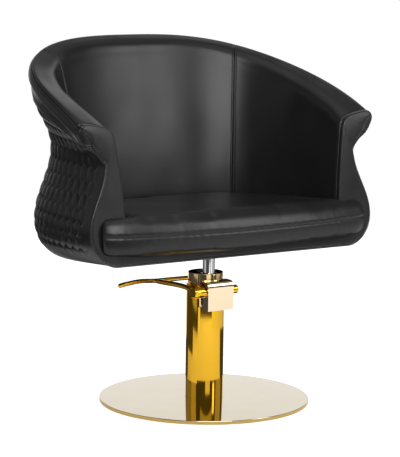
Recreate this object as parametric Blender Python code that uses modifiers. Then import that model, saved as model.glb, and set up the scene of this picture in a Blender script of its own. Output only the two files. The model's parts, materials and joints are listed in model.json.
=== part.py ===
"""Styling chair: a leather tub seat on a hydraulic pump column with a round disc base.

Metres, +Z up. The origin is on the floor at the centre of the disc. The seat's front faces -Y.
The tub's walls are lofts along one plan curve: a point on a wall is given by its place along
that curve (0 at the front of the left arm, 1 at the front of the right arm), by its offset
inward from the rim's outer edge, and by its height.
"""

from math import asin, cos, pi, radians, sin, sqrt

import bmesh
import bpy
from mathutils import Matrix, Vector

# Disc base
BASE_RADIUS = 0.230
PAD_TOP = 0.0015
PLATE_BOTTOM = 0.0018
PLATE_TOP = 0.0068
DISC_TOP = 0.0085
COVER_THICKNESS = 0.0014

# Pump column
COLUMN_RADIUS = 0.0415
COLUMN_WALL = 0.0025
COLUMN_TOP = 0.2605
HEAD_RADIUS = 0.0385
HEAD_BOTTOM = 0.1900
HEAD_TOP = 0.2875
GAP = 0.0003

# Ram and seat mount
ROD_RADIUS = 0.0135
ROD_Y = -0.012
SOCKET_BOTTOM = 0.3205
PLATE_Z = 0.3392
PLATE_THICKNESS = 0.0050
PLATE_SIDE = 0.190
BOLT_SPACING = 0.150

# Lever
SHAFT_Y = -0.0460
SHAFT_Z = 0.2515
SHAFT_RADIUS = 0.0060
HUB_RADIUS = 0.0120
HOUSING_HALF_WIDTH = 0.0330
HOUSING_FRONT = -0.0610
HOUSING_BOTTOM = 0.2105
HOUSING_TOP = 0.2735
HOUSING_WALL = 0.0035
ARM_X = -0.0550
ARM_RADIUS = 0.0055
BAR_Y = 0.1160
BAR_RADIUS = 0.0050
LUG_SCREWS = (-0.004, 0.018)
LUG_SCREW_Y = -0.048
CRANK_X = -0.0205
PLUNGER_Y = -0.0265

# Tub: plan curve and heights, at the front of the arms and at the middle of the back
HALF_WIDTH = 0.3810
TUB_DEPTH = 0.4250
PLAN_POWER = 2.75
ARM_FRONT_Y = -0.0840
FRONT_LEAN = 0.090
RIM_FRONT_Z, RIM_BACK_Z = 0.6330, 0.7850
RIM_RISE_POWER = 1.17
RIM_SWELL = 0.0740
RIM_SWELL_START, RIM_SWELL_END = 0.8, 2.2
WAIST_FRONT_Z, WAIST_BACK_Z = 0.5480, 0.5640
BULGE_FRONT_Z, BULGE_BACK_Z = 0.4080, 0.3980
BOTTOM_FRONT_Z, BOTTOM_BACK_Z = 0.3390, 0.3100
WAIST_FRONT_IN, WAIST_BACK_IN = 0.0610, 0.0400
BULGE_FRONT_IN, BULGE_BACK_IN = 0.0200, 0.0040
ROLL_UNDER = 0.0650
ROLL_ANGLES = (0.0, pi / 10, pi / 5, 3 * pi / 10, 2 * pi / 5, pi / 2)
LIP_HEIGHT = 0.0290

# Tub: layers of the wall, from the outside in
RIM_FRONT_WIDTH, RIM_BACK_WIDTH = 0.0790, 0.0460
RIM_FRONT_DROP, RIM_BACK_DROP = 0.0100, 0.0200
RIM_SIDE = 0.0300
SEAT_IN = 0.1060
SEAT_Z = 0.4300
OUTER_THICKNESS = 0.0070
INNER_THICKNESS = 0.0100
FRAME_THICKNESS = 0.0070
LAYER_GAP = 0.0008
PANEL_SEAM = 0.30
FACING_THICKNESS = 0.0110

# Seat
BOARD_Z = 0.3450
BOARD_THICKNESS = 0.0120
RAIL_DEPTH = 0.0150
CUSHION_BOTTOM = 0.3580
CUSHION_FRONT_TOP = 0.4430
CUSHION_BACK_TOP = 0.4220
CUSHION_HALF_WIDTH = 0.3420
CUSHION_FRONT_Y = -0.1760
EAR_FRONT_Y = -0.1500
EAR_BACK_Y = -0.1200

STEEL = ((0.55, 0.55, 0.56), 0.35, 1.0)
CHROME = ((0.80, 0.80, 0.82), 0.08, 1.0)
GOLD = ((0.86, 0.62, 0.24), 0.08, 1.0)
PALE_GOLD = ((0.86, 0.78, 0.62), 0.08, 1.0)
BRONZE = ((0.55, 0.38, 0.20), 0.40, 1.0)
RUBBER = ((0.02, 0.02, 0.02), 0.80, 0.0)
LEATHER = ((0.025, 0.025, 0.026), 0.45, 0.0)
FOAM = ((0.70, 0.66, 0.50), 0.90, 0.0)
PLYWOOD = ((0.55, 0.40, 0.24), 0.60, 0.0)
CLOTH = ((0.02, 0.02, 0.02), 0.95, 0.0)


# ---------------------------------------------------------------- scene and helpers

def clear_scene():
    """Remove what the start-up scene holds."""
    for old in list(bpy.data.objects):
        bpy.data.objects.remove(old, do_unlink=True)


def new_collection(name):
    """A collection linked to the scene."""
    group = bpy.data.collections.new(name)
    bpy.context.scene.collection.children.link(group)
    return group


clear_scene()
CHAIR = new_collection("styling_chair")
CUTTERS = new_collection("cutters")


def finish(obj, name, look, smooth=35.0):
    """Name the object, give it its own material and put it in the chair's collection."""
    colour, roughness, metallic = look
    obj.name = name
    obj.data.name = name
    material = bpy.data.materials.new(name)
    material.use_nodes = True
    shader = material.node_tree.nodes["Principled BSDF"]
    shader.inputs["Base Color"].default_value = (*colour, 1.0)
    shader.inputs["Roughness"].default_value = roughness
    shader.inputs["Metallic"].default_value = metallic
    obj.data.materials.clear()
    obj.data.materials.append(material)
    if obj.type == "MESH" and smooth:
        obj.data.shade_smooth()
        obj.data.set_sharp_from_angle(angle=radians(smooth))
    for group in list(obj.users_collection):
        group.objects.unlink(obj)
    CHAIR.objects.link(obj)
    return obj


def as_cutter(obj, name):
    """Keep an object as a hidden cutter."""
    obj.name = name
    obj.hide_render = True
    obj.display_type = "WIRE"
    for group in list(obj.users_collection):
        group.objects.unlink(obj)
    CUTTERS.objects.link(obj)
    return obj


def cut(obj, *cutters):
    """Subtract each cutter from the object."""
    for cutter in cutters:
        modifier = obj.modifiers.new(cutter.name, "BOOLEAN")
        modifier.operation = "DIFFERENCE"
        modifier.solver = "EXACT"
        modifier.object = cutter
    return obj


def join(obj, *others):
    """Unite the object with each helper solid."""
    for other in others:
        modifier = obj.modifiers.new(other.name, "BOOLEAN")
        modifier.operation = "UNION"
        modifier.solver = "EXACT"
        modifier.object = other
    return obj


def bevel(obj, width, segments=2, angle=35.0):
    """Round the object's sharp edges."""
    modifier = obj.modifiers.new("rounding", "BEVEL")
    modifier.width = width
    modifier.segments = segments
    modifier.limit_method = "ANGLE"
    modifier.angle_limit = radians(angle)
    return obj


def cylinder(radius, low, high, x=0.0, y=0.0, sides=32):
    """An upright cylinder between two heights."""
    bpy.ops.mesh.primitive_cylinder_add(
        vertices=sides, radius=radius, depth=high - low, location=(x, y, (low + high) / 2))
    return bpy.context.object


def cross_cylinder(radius, x_low, x_high, y, z, sides=24):
    """A cylinder along X, with its origin on its axis."""
    bpy.ops.mesh.primitive_cylinder_add(
        vertices=sides, radius=radius, depth=x_high - x_low,
        location=((x_low + x_high) / 2, y, z), rotation=(0, pi / 2, 0))
    return bpy.context.object


def box(low, high):
    """A box between two corners, with no scale left on the object."""
    size = [b - a for a, b in zip(low, high)]
    middle = [(a + b) / 2 for a, b in zip(low, high)]
    bpy.ops.mesh.primitive_cube_add(size=1.0, location=middle)
    obj = bpy.context.object
    obj.data.transform(Matrix.Diagonal((*size, 1.0)))
    return obj


def turned(profile, steps, x=0.0, y=0.0):
    """A solid of revolution: a closed or open profile in X and Z, down its outer side."""
    mesh = bpy.data.meshes.new("profile")
    points = [(radius, 0.0, height) for radius, height in profile]
    closed = profile[0] != profile[-1] and profile[0][0] > 0
    count = len(points)
    edges = [(i, i + 1) for i in range(count - 1)]
    if closed:
        edges.append((count - 1, 0))
    mesh.from_pydata(points, edges, [])
    obj = bpy.data.objects.new("turned", mesh)
    CHAIR.objects.link(obj)
    obj.location = (x, y, 0.0)
    screw = obj.modifiers.new("turn", "SCREW")
    screw.steps = steps
    screw.render_steps = steps
    screw.use_merge_vertices = True
    screw.merge_threshold = 0.00001
    return obj


def ring(inner, outer, low, high, steps=40, x=0.0, y=0.0):
    """A plain turned ring or tube."""
    return turned([(outer, high), (outer, low), (inner, low), (inner, high)], steps, x, y)


def rod(points, radius, sides=2, smooth_path=False):
    """A round bar along a path, as a curve with filled caps."""
    curve = bpy.data.curves.new("rod", "CURVE")
    curve.dimensions = "3D"
    curve.bevel_depth = radius
    curve.bevel_resolution = sides
    curve.use_fill_caps = True
    curve.resolution_u = 4
    spline = curve.splines.new("BEZIER" if smooth_path else "POLY")
    if smooth_path:
        spline.bezier_points.add(len(points) - 1)
        for knot, place in zip(spline.bezier_points, points):
            knot.co = place
            knot.handle_left_type = "AUTO"
            knot.handle_right_type = "AUTO"
    else:
        spline.points.add(len(points) - 1)
        for knot, place in zip(spline.points, points):
            knot.co = (*place, 1.0)
    obj = bpy.data.objects.new("rod", curve)
    CHAIR.objects.link(obj)
    return obj


def as_mesh(obj):
    """The curve object as a closed mesh object in its place."""
    bpy.context.view_layer.update()
    evaluated = obj.evaluated_get(bpy.context.evaluated_depsgraph_get())
    mesh = bpy.data.meshes.new_from_object(evaluated)
    shape = bmesh.new()
    shape.from_mesh(mesh)
    bmesh.ops.remove_doubles(shape, verts=shape.verts, dist=0.00001)
    bmesh.ops.recalc_face_normals(shape, faces=shape.faces)
    shape.to_mesh(mesh)
    shape.free()
    solid = bpy.data.objects.new(obj.name, mesh)
    solid.matrix_world = obj.matrix_world.copy()
    CHAIR.objects.link(solid)
    bpy.data.objects.remove(obj, do_unlink=True)
    return solid


def with_origin(obj, place):
    """Move a mesh object's origin without moving its shape."""
    bpy.context.view_layer.update()
    obj.data.transform(Matrix.Translation(Vector(place)).inverted() @ obj.matrix_world)
    obj.matrix_world = Matrix.Translation(Vector(place))
    return obj


def outline_plate(points, thickness, holes=()):
    """A flat plate of an outline in X and Y, centred on its own plane."""
    curve = bpy.data.curves.new("outline", "CURVE")
    curve.dimensions = "2D"
    curve.fill_mode = "BOTH"
    curve.extrude = thickness / 2
    for loop in (points, *holes):
        spline = curve.splines.new("POLY")
        spline.points.add(len(loop) - 1)
        for knot, (x, y) in zip(spline.points, loop):
            knot.co = (x, y, 0.0, 1.0)
        spline.use_cyclic_u = True
    obj = bpy.data.objects.new("outline", curve)
    CHAIR.objects.link(obj)
    return obj


# ---------------------------------------------------------------- base

def make_floor_pad():
    """Thin rubber sheet that the chair stands on."""
    pad = cylinder(BASE_RADIUS - 0.008, 0.0, PAD_TOP, sides=56)
    return finish(pad, "floor_pad", RUBBER)


def make_base_plate():
    """Steel disc with three countersunk holes for the column's screws."""
    plate = cylinder(BASE_RADIUS - 0.0035, PLATE_BOTTOM, PLATE_TOP, sides=56)
    for index, (x, y) in enumerate(base_bolt_places()):
        sink = turned([(0, PLATE_TOP + 0.001), (0.0045, PLATE_TOP + 0.001), (0.0045, 0.0055),
                       (0.0080, PLATE_BOTTOM), (0.0080, 0.0), (0, 0.0)], 12, x, y)
        cut(plate, as_cutter(sink, f"cut_base_bolt_{index}"))
    return finish(plate, "base_plate", STEEL)


def base_bolt_places():
    """Centres of the three screws under the column."""
    reach = 0.028
    return [(reach * cos(a), reach * sin(a)) for a in (pi / 2, 7 * pi / 6, 11 * pi / 6)]


def make_base_bolts():
    """Three countersunk screws up into the column's foot."""
    profile = [(0, 0.0114), (0.0036, 0.0114), (0.0040, 0.0110), (0.0040, 0.0052),
               (0.0072, 0.0021), (0, 0.0021)]
    for index, (x, y) in enumerate(base_bolt_places(), 1):
        finish(turned(profile, 12, x, y), f"base_bolt_{index}", STEEL)


def make_base_cover():
    """Polished sheet over the steel disc, turned down round its edge."""
    hole = COLUMN_RADIUS + GAP
    inside = BASE_RADIUS - COVER_THICKNESS
    round_edge = 0.0020
    corner = [(BASE_RADIUS - round_edge * (1 - sin(a)), DISC_TOP - round_edge * (1 - cos(a)))
              for a in (0.0, pi / 4, pi / 2)]
    profile = [(hole, DISC_TOP), *corner, (BASE_RADIUS, 0.0008), (inside, 0.0008),
               (inside, DISC_TOP - COVER_THICKNESS), (hole, DISC_TOP - COVER_THICKNESS)]
    return finish(turned(profile, 72), "base_cover", PALE_GOLD)


# ---------------------------------------------------------------- column and pump

def make_column_foot():
    """Steel plug that closes the column and takes its screws."""
    foot = cylinder(COLUMN_RADIUS - COLUMN_WALL - GAP, PLATE_TOP + GAP, 0.0120, sides=40)
    for index, (x, y) in enumerate(base_bolt_places()):
        hole = cylinder(0.0044, 0.0, 0.02, x, y, 12)
        cut(foot, as_cutter(hole, f"cut_foot_{index}"))
    return finish(foot, "column_foot", STEEL)


def make_column_tube():
    """Outer tube, with a window in front for the lever's housing."""
    tube = ring(COLUMN_RADIUS - COLUMN_WALL, COLUMN_RADIUS, PLATE_TOP + GAP, COLUMN_TOP, 56)
    window = box((-0.0340, -0.08, 0.2145), (0.0340, -0.012, 0.30))
    cut(tube, as_cutter(window, "cut_column_window"))
    return finish(tube, "column_tube", GOLD)


def make_reservoir():
    """Inner tube that holds the oil."""
    return finish(ring(0.0345, 0.0365, 0.0123, HEAD_BOTTOM - GAP), "reservoir_tube", STEEL)


def make_ram_cylinder():
    """Cylinder that the piston head runs in."""
    tube = ring(0.0186, 0.0215, 0.0123, HEAD_BOTTOM - GAP, 24, 0.0, ROD_Y)
    return finish(tube, "ram_cylinder", STEEL)


def make_pump_head():
    """Top block of the pump: rod bore, plunger bore and the lug under the lever shaft."""
    head = cylinder(HEAD_RADIUS, HEAD_BOTTOM, HEAD_TOP, sides=48)
    bevel(head, 0.0010, 1)
    lug = box((-0.0285, -0.0545, 0.2200), (0.0285, -0.0250, 0.2420))
    join(head, as_cutter(lug, "join_head_lug"))
    bore = turned([(0, 0.30), (0.0190, 0.30), (0.0190, 0.2840), (0.0168, 0.2840),
                   (0.0168, 0.2450), (0.0142, 0.2450), (0.0142, 0.18), (0, 0.18)], 24, 0.0, ROD_Y)
    pocket = box((CRANK_X - 0.0075, -0.0600, 0.2290), (CRANK_X + 0.0075, -0.0190, 0.2620))
    barrel = cylinder(0.0038, 0.1990, 0.2320, CRANK_X, PLUNGER_Y, 16)
    shaft_room = cross_cylinder(SHAFT_RADIUS + 0.0012, -0.05, 0.05, SHAFT_Y, SHAFT_Z)
    cut(head, as_cutter(bore, "cut_rod_bore"), as_cutter(pocket, "cut_crank_pocket"),
        as_cutter(barrel, "cut_plunger_bore"), as_cutter(shaft_room, "cut_shaft_room"))
    for index, x in enumerate(LUG_SCREWS):
        hole = cylinder(0.0022, 0.2, 0.2330, x, LUG_SCREW_Y, 16)
        cut(head, as_cutter(hole, f"cut_lug_screw_{index}"))
    return finish(head, "pump_head", GOLD)


def make_rod_bush():
    """Bronze bush that guides the rod."""
    return finish(ring(0.01355, 0.0165, 0.2453, 0.2836, 24, 0.0, ROD_Y), "rod_guide_bush", BRONZE)


def make_rod_wiper():
    """Wiper ring in the mouth of the rod's bore."""
    return finish(ring(0.01380, 0.0187, 0.2843, 0.2870, 24, 0.0, ROD_Y), "rod_wiper", RUBBER)


def make_housing():
    """Box over the lever shaft: front, top and two cheeks, its front top edge rounded."""
    radius = 0.0120
    arc = [(HOUSING_FRONT + radius - radius * cos(a), HOUSING_TOP - radius + radius * sin(a))
           for a in (0.0, pi / 10, pi / 5, 3 * pi / 10, 2 * pi / 5, pi / 2)]
    side = [(HOUSING_FRONT, HOUSING_BOTTOM), *arc, (-0.0300, HOUSING_TOP),
            (-0.0300, 0.2625), (-0.0400, 0.2625), (-0.0400, HOUSING_BOTTOM)]
    shell = as_mesh(outline_plate(side, 2 * HOUSING_HALF_WIDTH))
    shell.data.transform(Matrix(((0, 0, 1, 0), (1, 0, 0, 0), (0, 1, 0, 0), (0, 0, 0, 1))))
    inner_width = HOUSING_HALF_WIDTH - HOUSING_WALL
    hollow = box((-inner_width, HOUSING_FRONT + HOUSING_WALL, 0.20),
                 (inner_width, 0.0, HOUSING_TOP - HOUSING_WALL - 0.0050))
    clear = cylinder(HEAD_RADIUS + 0.0006, 0.2, 0.3, sides=48)
    eyes = cross_cylinder(0.0084, -0.05, 0.05, SHAFT_Y, SHAFT_Z)
    cut(shell, as_cutter(hollow, "cut_housing_inside"), as_cutter(clear, "cut_housing_back"),
        as_cutter(eyes, "cut_shaft_eyes"))
    bottom = box((-inner_width - 0.001, HOUSING_FRONT + 0.001, HOUSING_BOTTOM),
                 (inner_width + 0.001, -0.0420, HOUSING_BOTTOM + 0.0030))
    join(shell, as_cutter(bottom, "join_housing_bottom"))
    for index, x in enumerate(LUG_SCREWS):
        hole = cylinder(0.0024, 0.19, 0.2180, x, LUG_SCREW_Y, 16)
        cut(shell, as_cutter(hole, f"cut_housing_screw_{index}"))
    return finish(shell, "lever_bracket", PALE_GOLD)


def make_bracket_screws():
    """Two screws up through the housing's floor into the head's lug."""
    profile = [(0, 0.2300), (0.0019, 0.2300), (0.0019, 0.2102), (0.0040, 0.2102),
               (0.0040, 0.2080), (0, 0.2080)]
    for index, x in enumerate(LUG_SCREWS, 1):
        finish(turned(profile, 12, x, LUG_SCREW_Y), f"bracket_screw_{index}", STEEL)


def make_shaft_bush(name, side):
    """Bronze bush in one cheek of the housing."""
    outer_x = side * (HOUSING_HALF_WIDTH - 0.0002)
    inner_x = side * (HOUSING_HALF_WIDTH - HOUSING_WALL - 0.0012)
    low, high = sorted((outer_x, inner_x))
    bush = cross_cylinder(0.0081, low, high, SHAFT_Y, SHAFT_Z)
    bore = cross_cylinder(SHAFT_RADIUS + 0.00006, low - 0.01, high + 0.01, SHAFT_Y, SHAFT_Z)
    cut(bush, as_cutter(bore, f"cut_{name}"))
    return finish(bush, name, BRONZE)


# ---------------------------------------------------------------- lever, turns about the shaft

def make_lever_shaft():
    """Cross shaft through the housing."""
    shaft = cross_cylinder(SHAFT_RADIUS, -0.0600, 0.0480, SHAFT_Y, SHAFT_Z)
    return finish(shaft, "lever_shaft", STEEL)


def make_shaft_knob():
    """Knurled end cap on the right end of the shaft."""
    knob = cross_cylinder(0.0095, HOUSING_HALF_WIDTH + GAP, 0.0510, SHAFT_Y, SHAFT_Z)
    bevel(knob, 0.0012, 1)
    bore = cross_cylinder(SHAFT_RADIUS + GAP, 0.0, 0.0484, SHAFT_Y, SHAFT_Z)
    cut(knob, as_cutter(bore, "cut_knob_bore"))
    return finish(knob, "shaft_knob", GOLD)


def make_lever_hub():
    """Hub clamped on the left end of the shaft."""
    hub = cross_cylinder(HUB_RADIUS, -0.0635, -HOUSING_HALF_WIDTH - GAP, SHAFT_Y, SHAFT_Z)
    bevel(hub, 0.0010, 1)
    bore = cross_cylinder(SHAFT_RADIUS + GAP, -0.0604, 0.0, SHAFT_Y, SHAFT_Z)
    screw_hole = cylinder(0.0030, 0.2300, SHAFT_Z - 0.002, -0.0480, SHAFT_Y, 16)
    cut(hub, as_cutter(bore, "cut_hub_bore"), as_cutter(screw_hole, "cut_hub_screw"))
    return finish(hub, "lever_hub", GOLD)


def make_hub_screw():
    """Grub screw that locks the hub to the shaft."""
    top = SHAFT_Z - SHAFT_RADIUS - GAP
    screw = cylinder(0.0026, SHAFT_Z - HUB_RADIUS + 0.0008, top, -0.0480, SHAFT_Y, 12)
    return finish(screw, "hub_set_screw", STEEL)


def make_lever_arm():
    """Bent rod from the hub back to the foot bar."""
    start = SHAFT_Y + HUB_RADIUS + 0.0012
    end = BAR_Y - BAR_RADIUS - 0.0008
    path = [(ARM_X, start, SHAFT_Z + 0.0015), (ARM_X, -0.0220, SHAFT_Z + 0.0050),
            (ARM_X, 0.0050, SHAFT_Z + 0.0068), (ARM_X, 0.0450, SHAFT_Z + 0.0055),
            (ARM_X, 0.0850, SHAFT_Z + 0.0030), (ARM_X, end, SHAFT_Z + 0.0020)]
    arm = as_mesh(rod(path, ARM_RADIUS, 3))
    return finish(arm, "lever_arm", GOLD, 60)


def make_foot_bar():
    """T bar pressed by the foot; its left end droops a little."""
    height = SHAFT_Z + 0.0020
    path = [(-0.1640, BAR_Y, height - 0.0055), (-0.1300, BAR_Y, height - 0.0010),
            (-0.0950, BAR_Y, height + 0.0022), (-0.0550, BAR_Y, height),
            (0.0000, BAR_Y, height - 0.0004), (0.0540, BAR_Y, height - 0.0010)]
    bar = as_mesh(rod(path, BAR_RADIUS, 3))
    return finish(bar, "foot_bar", GOLD, 60)


def make_crank():
    """Crank inside the housing whose nose presses the plunger."""
    width = 0.0105
    reach = PLUNGER_Y - SHAFT_Y
    hub = cross_cylinder(0.0095, CRANK_X - width / 2, CRANK_X + width / 2, SHAFT_Y, SHAFT_Z)
    nose = cross_cylinder(0.0035, CRANK_X - width / 2 + 0.0004, CRANK_X + width / 2 - 0.0004,
                          SHAFT_Y + reach, SHAFT_Z, 16)
    web = box((CRANK_X - width / 2 + 0.0008, SHAFT_Y, SHAFT_Z - 0.0028),
              (CRANK_X + width / 2 - 0.0008, SHAFT_Y + reach, SHAFT_Z + 0.0028))
    bore = cross_cylinder(SHAFT_RADIUS + GAP, -0.05, 0.05, SHAFT_Y, SHAFT_Z)
    join(hub, as_cutter(web, "join_crank_web"), as_cutter(nose, "join_crank_nose"))
    cut(hub, as_cutter(bore, "cut_crank_bore"))
    return finish(hub, "pump_crank", STEEL)


def make_plunger():
    """Pump plunger with its head under the crank's nose."""
    top = SHAFT_Z - 0.0035 - GAP
    profile = [(0, top), (0.0062, top), (0.0062, top - 0.0025), (0.0035, top - 0.0025),
               (0.0035, 0.2120), (0, 0.2120)]
    plunger = turned(profile, 16, CRANK_X, PLUNGER_Y)
    return finish(plunger, "pump_plunger", STEEL)


def make_plunger_spring():
    """Return spring round the plunger, a coil of four turns."""
    low = 0.2290 + 0.0009
    high = SHAFT_Z - 0.0035 - GAP - 0.0025 - 0.0009
    turns, per_turn, radius = 4, 10, 0.0050
    count = turns * per_turn
    path = []
    for step in range(count + 1):
        angle = 2 * pi * step / per_turn
        path.append((CRANK_X + radius * cos(angle), PLUNGER_Y + radius * sin(angle),
                     low + (high - low) * step / count))
    return finish(as_mesh(rod(path, 0.0006, 0)), "plunger_spring", STEEL, 60)


# ---------------------------------------------------------------- ram

def make_piston_head():
    """Piston at the foot of the rod, with a groove for its seal."""
    profile = [(0, 0.0400), (0.0165, 0.0400), (0.0182, 0.0385), (0.0182, 0.0340),
               (0.0155, 0.0340), (0.0155, 0.0290), (0.0182, 0.0290), (0.0182, 0.0200),
               (0, 0.0200)]
    return finish(turned(profile, 24, 0.0, ROD_Y), "piston_head", STEEL)


def make_piston_seal():
    """Seal ring in the piston's groove."""
    seal = ring(0.0158, 0.0184, 0.0293, 0.0337, 24, 0.0, ROD_Y)
    return finish(seal, "piston_seal", RUBBER)


def make_thrust_washer():
    """Bronze washer that the rod turns on."""
    return finish(cylinder(0.0130, 0.0403, 0.0423, 0.0, ROD_Y, 24), "thrust_washer", BRONZE)


def make_piston_rod():
    """Chromed rod; it lifts the seat and turns with it."""
    rod_solid = cylinder(ROD_RADIUS, 0.0426, PLATE_Z - 0.0008, 0.0, ROD_Y, 24)
    bevel(rod_solid, 0.0010, 1)
    return finish(rod_solid, "piston_rod", CHROME)


# ---------------------------------------------------------------- seat mount

def mount_bolt_places():
    """Centres of the four bolts through the seat plate."""
    half = BOLT_SPACING / 2
    return [(half, ROD_Y + half), (-half, ROD_Y + half),
            (-half, ROD_Y - half), (half, ROD_Y - half)]


def make_mount_socket():
    """Steel socket over the top of the rod, under the seat plate."""
    profile = [(0.0240, PLATE_Z - GAP), (0.0240, SOCKET_BOTTOM + 0.002),
               (0.0222, SOCKET_BOTTOM), (ROD_RADIUS + GAP, SOCKET_BOTTOM),
               (ROD_RADIUS + GAP, PLATE_Z - GAP)]
    return finish(turned(profile, 24, 0.0, ROD_Y), "mount_socket", STEEL)


def make_mount_plate():
    """Square steel plate under the seat board."""
    half = PLATE_SIDE / 2
    plate = box((-half, ROD_Y - half, PLATE_Z), (half, ROD_Y + half, PLATE_Z + PLATE_THICKNESS))
    for index, (x, y) in enumerate(mount_bolt_places()):
        hole = cylinder(0.0044, PLATE_Z - 0.01, PLATE_Z + 0.02, x, y, 12)
        cut(plate, as_cutter(hole, f"cut_plate_{index}"))
    return finish(plate, "mount_plate", STEEL)


def make_mount_bolts():
    """Four hexagon bolts up through the plate into the board."""
    for index, (x, y) in enumerate(mount_bolt_places(), 1):
        head = cylinder(0.0070, PLATE_Z - 0.0056, PLATE_Z - GAP, x, y, 6)
        shank = cylinder(0.0040, PLATE_Z - 0.0010, BOARD_Z + 0.0080, x, y, 12)
        join(head, as_cutter(shank, f"join_bolt_{index}"))
        finish(head, f"mount_bolt_{index}", STEEL)


# ---------------------------------------------------------------- tub geometry

def mix(front, back, share):
    """Blend from the front value to the back value."""
    return front + (back - front) * share


def plan(place):
    """Point, outward normal and depth share of the rim's outer edge, seen from above."""
    angle = pi * min(max(place, 0.0), 1.0)
    power = 2 / PLAN_POWER
    c, s = cos(angle), max(sin(angle), 0.0)
    x = -HALF_WIDTH * (abs(c) ** power) * (1 if c > 0 else -1)
    share = s ** power
    y = TUB_DEPTH * share
    rise = PLAN_POWER - 1
    normal = Vector(((x / HALF_WIDTH) * abs(x / HALF_WIDTH) ** (rise - 1) / HALF_WIDTH,
                     share ** rise / TUB_DEPTH, 0.0)).normalized()
    return Vector((x, y, 0.0)), normal, share


def rim_height(share):
    """Height of the rim's outer edge."""
    swell = RIM_SWELL * share ** RIM_SWELL_START * (1 - share) ** RIM_SWELL_END
    return mix(RIM_FRONT_Z, RIM_BACK_Z, share ** RIM_RISE_POWER) + swell


def wall_point(place, offset, height):
    """A point of the wall, in the chair's frame."""
    point, normal, share = plan(place)
    lean = FRONT_LEAN * (RIM_FRONT_Z - height) * (1 - share)
    shift = Vector((0.0, ARM_FRONT_Y - lean, 0.0))
    result = point - normal * offset + shift
    result.z = height
    return result


def smooth_step(value):
    """Rise from 0 to 1 along half a cosine."""
    return (1 - cos(pi * min(max(value, 0.0), 1.0))) / 2


def outer_offset(share, height):
    """Offset of the tub's outer surface at a height: roll under, bulge, waist and lip."""
    bottom = mix(BOTTOM_FRONT_Z, BOTTOM_BACK_Z, share)
    bulge = mix(BULGE_FRONT_Z, BULGE_BACK_Z, share)
    waist = mix(WAIST_FRONT_Z, WAIST_BACK_Z, share)
    lip = rim_height(share) - LIP_HEIGHT
    bulge_in = mix(BULGE_FRONT_IN, BULGE_BACK_IN, share)
    waist_in = mix(WAIST_FRONT_IN, WAIST_BACK_IN, share)
    if height < bulge:
        drop = min((bulge - height) / (bulge - bottom), 1.0)
        return bulge_in + ROLL_UNDER * (1 - sqrt(1 - drop * drop))
    if height < waist:
        return bulge_in + (waist_in - bulge_in) * smooth_step((height - bulge) / (waist - bulge))
    return waist_in - (waist_in - 0.004) * smooth_step((height - waist) / (lip - waist))


def inner_offset(share, height):
    """Offset of the tub's inner surface at a height."""
    top = rim_height(share) - mix(RIM_FRONT_DROP, RIM_BACK_DROP, share)
    rim_in = mix(RIM_FRONT_WIDTH, RIM_BACK_WIDTH, share)
    down = min(max((top - height) / (top - SEAT_Z), 0.0), 1.0)
    return rim_in + (SEAT_IN - rim_in) * down


def outer_profile(share, depth, from_lip):
    """Points down the wall at a depth inside its outer surface, to the bottom.

    They start under the lip, or a quarter of the way from the waist down to the bulge.
    """
    bottom = mix(BOTTOM_FRONT_Z, BOTTOM_BACK_Z, share)
    bulge = mix(BULGE_FRONT_Z, BULGE_BACK_Z, share)
    waist = mix(WAIST_FRONT_Z, WAIST_BACK_Z, share)
    top = rim_height(share) - LIP_HEIGHT - 0.0080
    heights = [mix(waist, bulge, i / 4) for i in range(1, 4)]
    if from_lip:
        heights = [mix(top, waist, i / 4) for i in range(5)] + heights
    points = [(outer_offset(share, z) + depth, z) for z in heights]
    bulge_in = mix(BULGE_FRONT_IN, BULGE_BACK_IN, share)
    for angle in ROLL_ANGLES:
        normal = Vector((cos(angle) / ROLL_UNDER, sin(angle) / (bulge - bottom))).normalized()
        points.append((bulge_in + ROLL_UNDER * (1 - cos(angle)) + depth * normal.x,
                       bulge - (bulge - bottom) * sin(angle) + depth * normal.y))
    return points


def loft(name, places, section, look):
    """A closed solid from sections along the plan curve, each a strip with two sides.

    The section function gives pairs of (offset, height): outer side, inner side.
    """
    shape = bmesh.new()
    rings = []
    for place in places:
        outer, inner = section(place)
        loop = [wall_point(place, *pair) for pair in outer]
        loop += [wall_point(place, *pair) for pair in reversed(inner)]
        rings.append([shape.verts.new(point) for point in loop])
    count = len(rings[0])
    for here, there in zip(rings, rings[1:]):
        for i in range(count):
            j = (i + 1) % count
            shape.faces.new((here[i], here[j], there[j], there[i]))
    for end in (rings[0], rings[-1]):
        for i in range(count // 2 - 1):
            shape.faces.new((end[i], end[i + 1], end[count - 2 - i], end[count - 1 - i]))
    bmesh.ops.recalc_face_normals(shape, faces=shape.faces)
    mesh = bpy.data.meshes.new(name)
    shape.to_mesh(mesh)
    shape.free()
    obj = bpy.data.objects.new(name, mesh)
    CHAIR.objects.link(obj)
    return finish(obj, name, look, 50)


def stations(low, high, count):
    """Evenly spaced places along the plan curve."""
    return [low + (high - low) * i / count for i in range(count + 1)]


PANELS = (("left", 0.0, PANEL_SEAM - 0.0015, 8),
          ("back", PANEL_SEAM + 0.0015, 1 - PANEL_SEAM - 0.0015, 12),
          ("right", 1 - PANEL_SEAM + 0.0015, 1.0, 8))


def outer_section(place):
    """Quilted cover: a layer just inside the outer surface."""
    share = plan(place)[2]
    return outer_profile(share, 0.0, True), outer_profile(share, OUTER_THICKNESS, True)


def inner_heights(top, low, upper_count, lower_count=1):
    """Heights down the inner wall, with one where it meets the seat."""
    heights = [top + (SEAT_Z - top) * i / upper_count for i in range(upper_count + 1)]
    heights += [SEAT_Z + (low - SEAT_Z) * i / lower_count for i in range(1, lower_count + 1)]
    return heights


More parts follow.
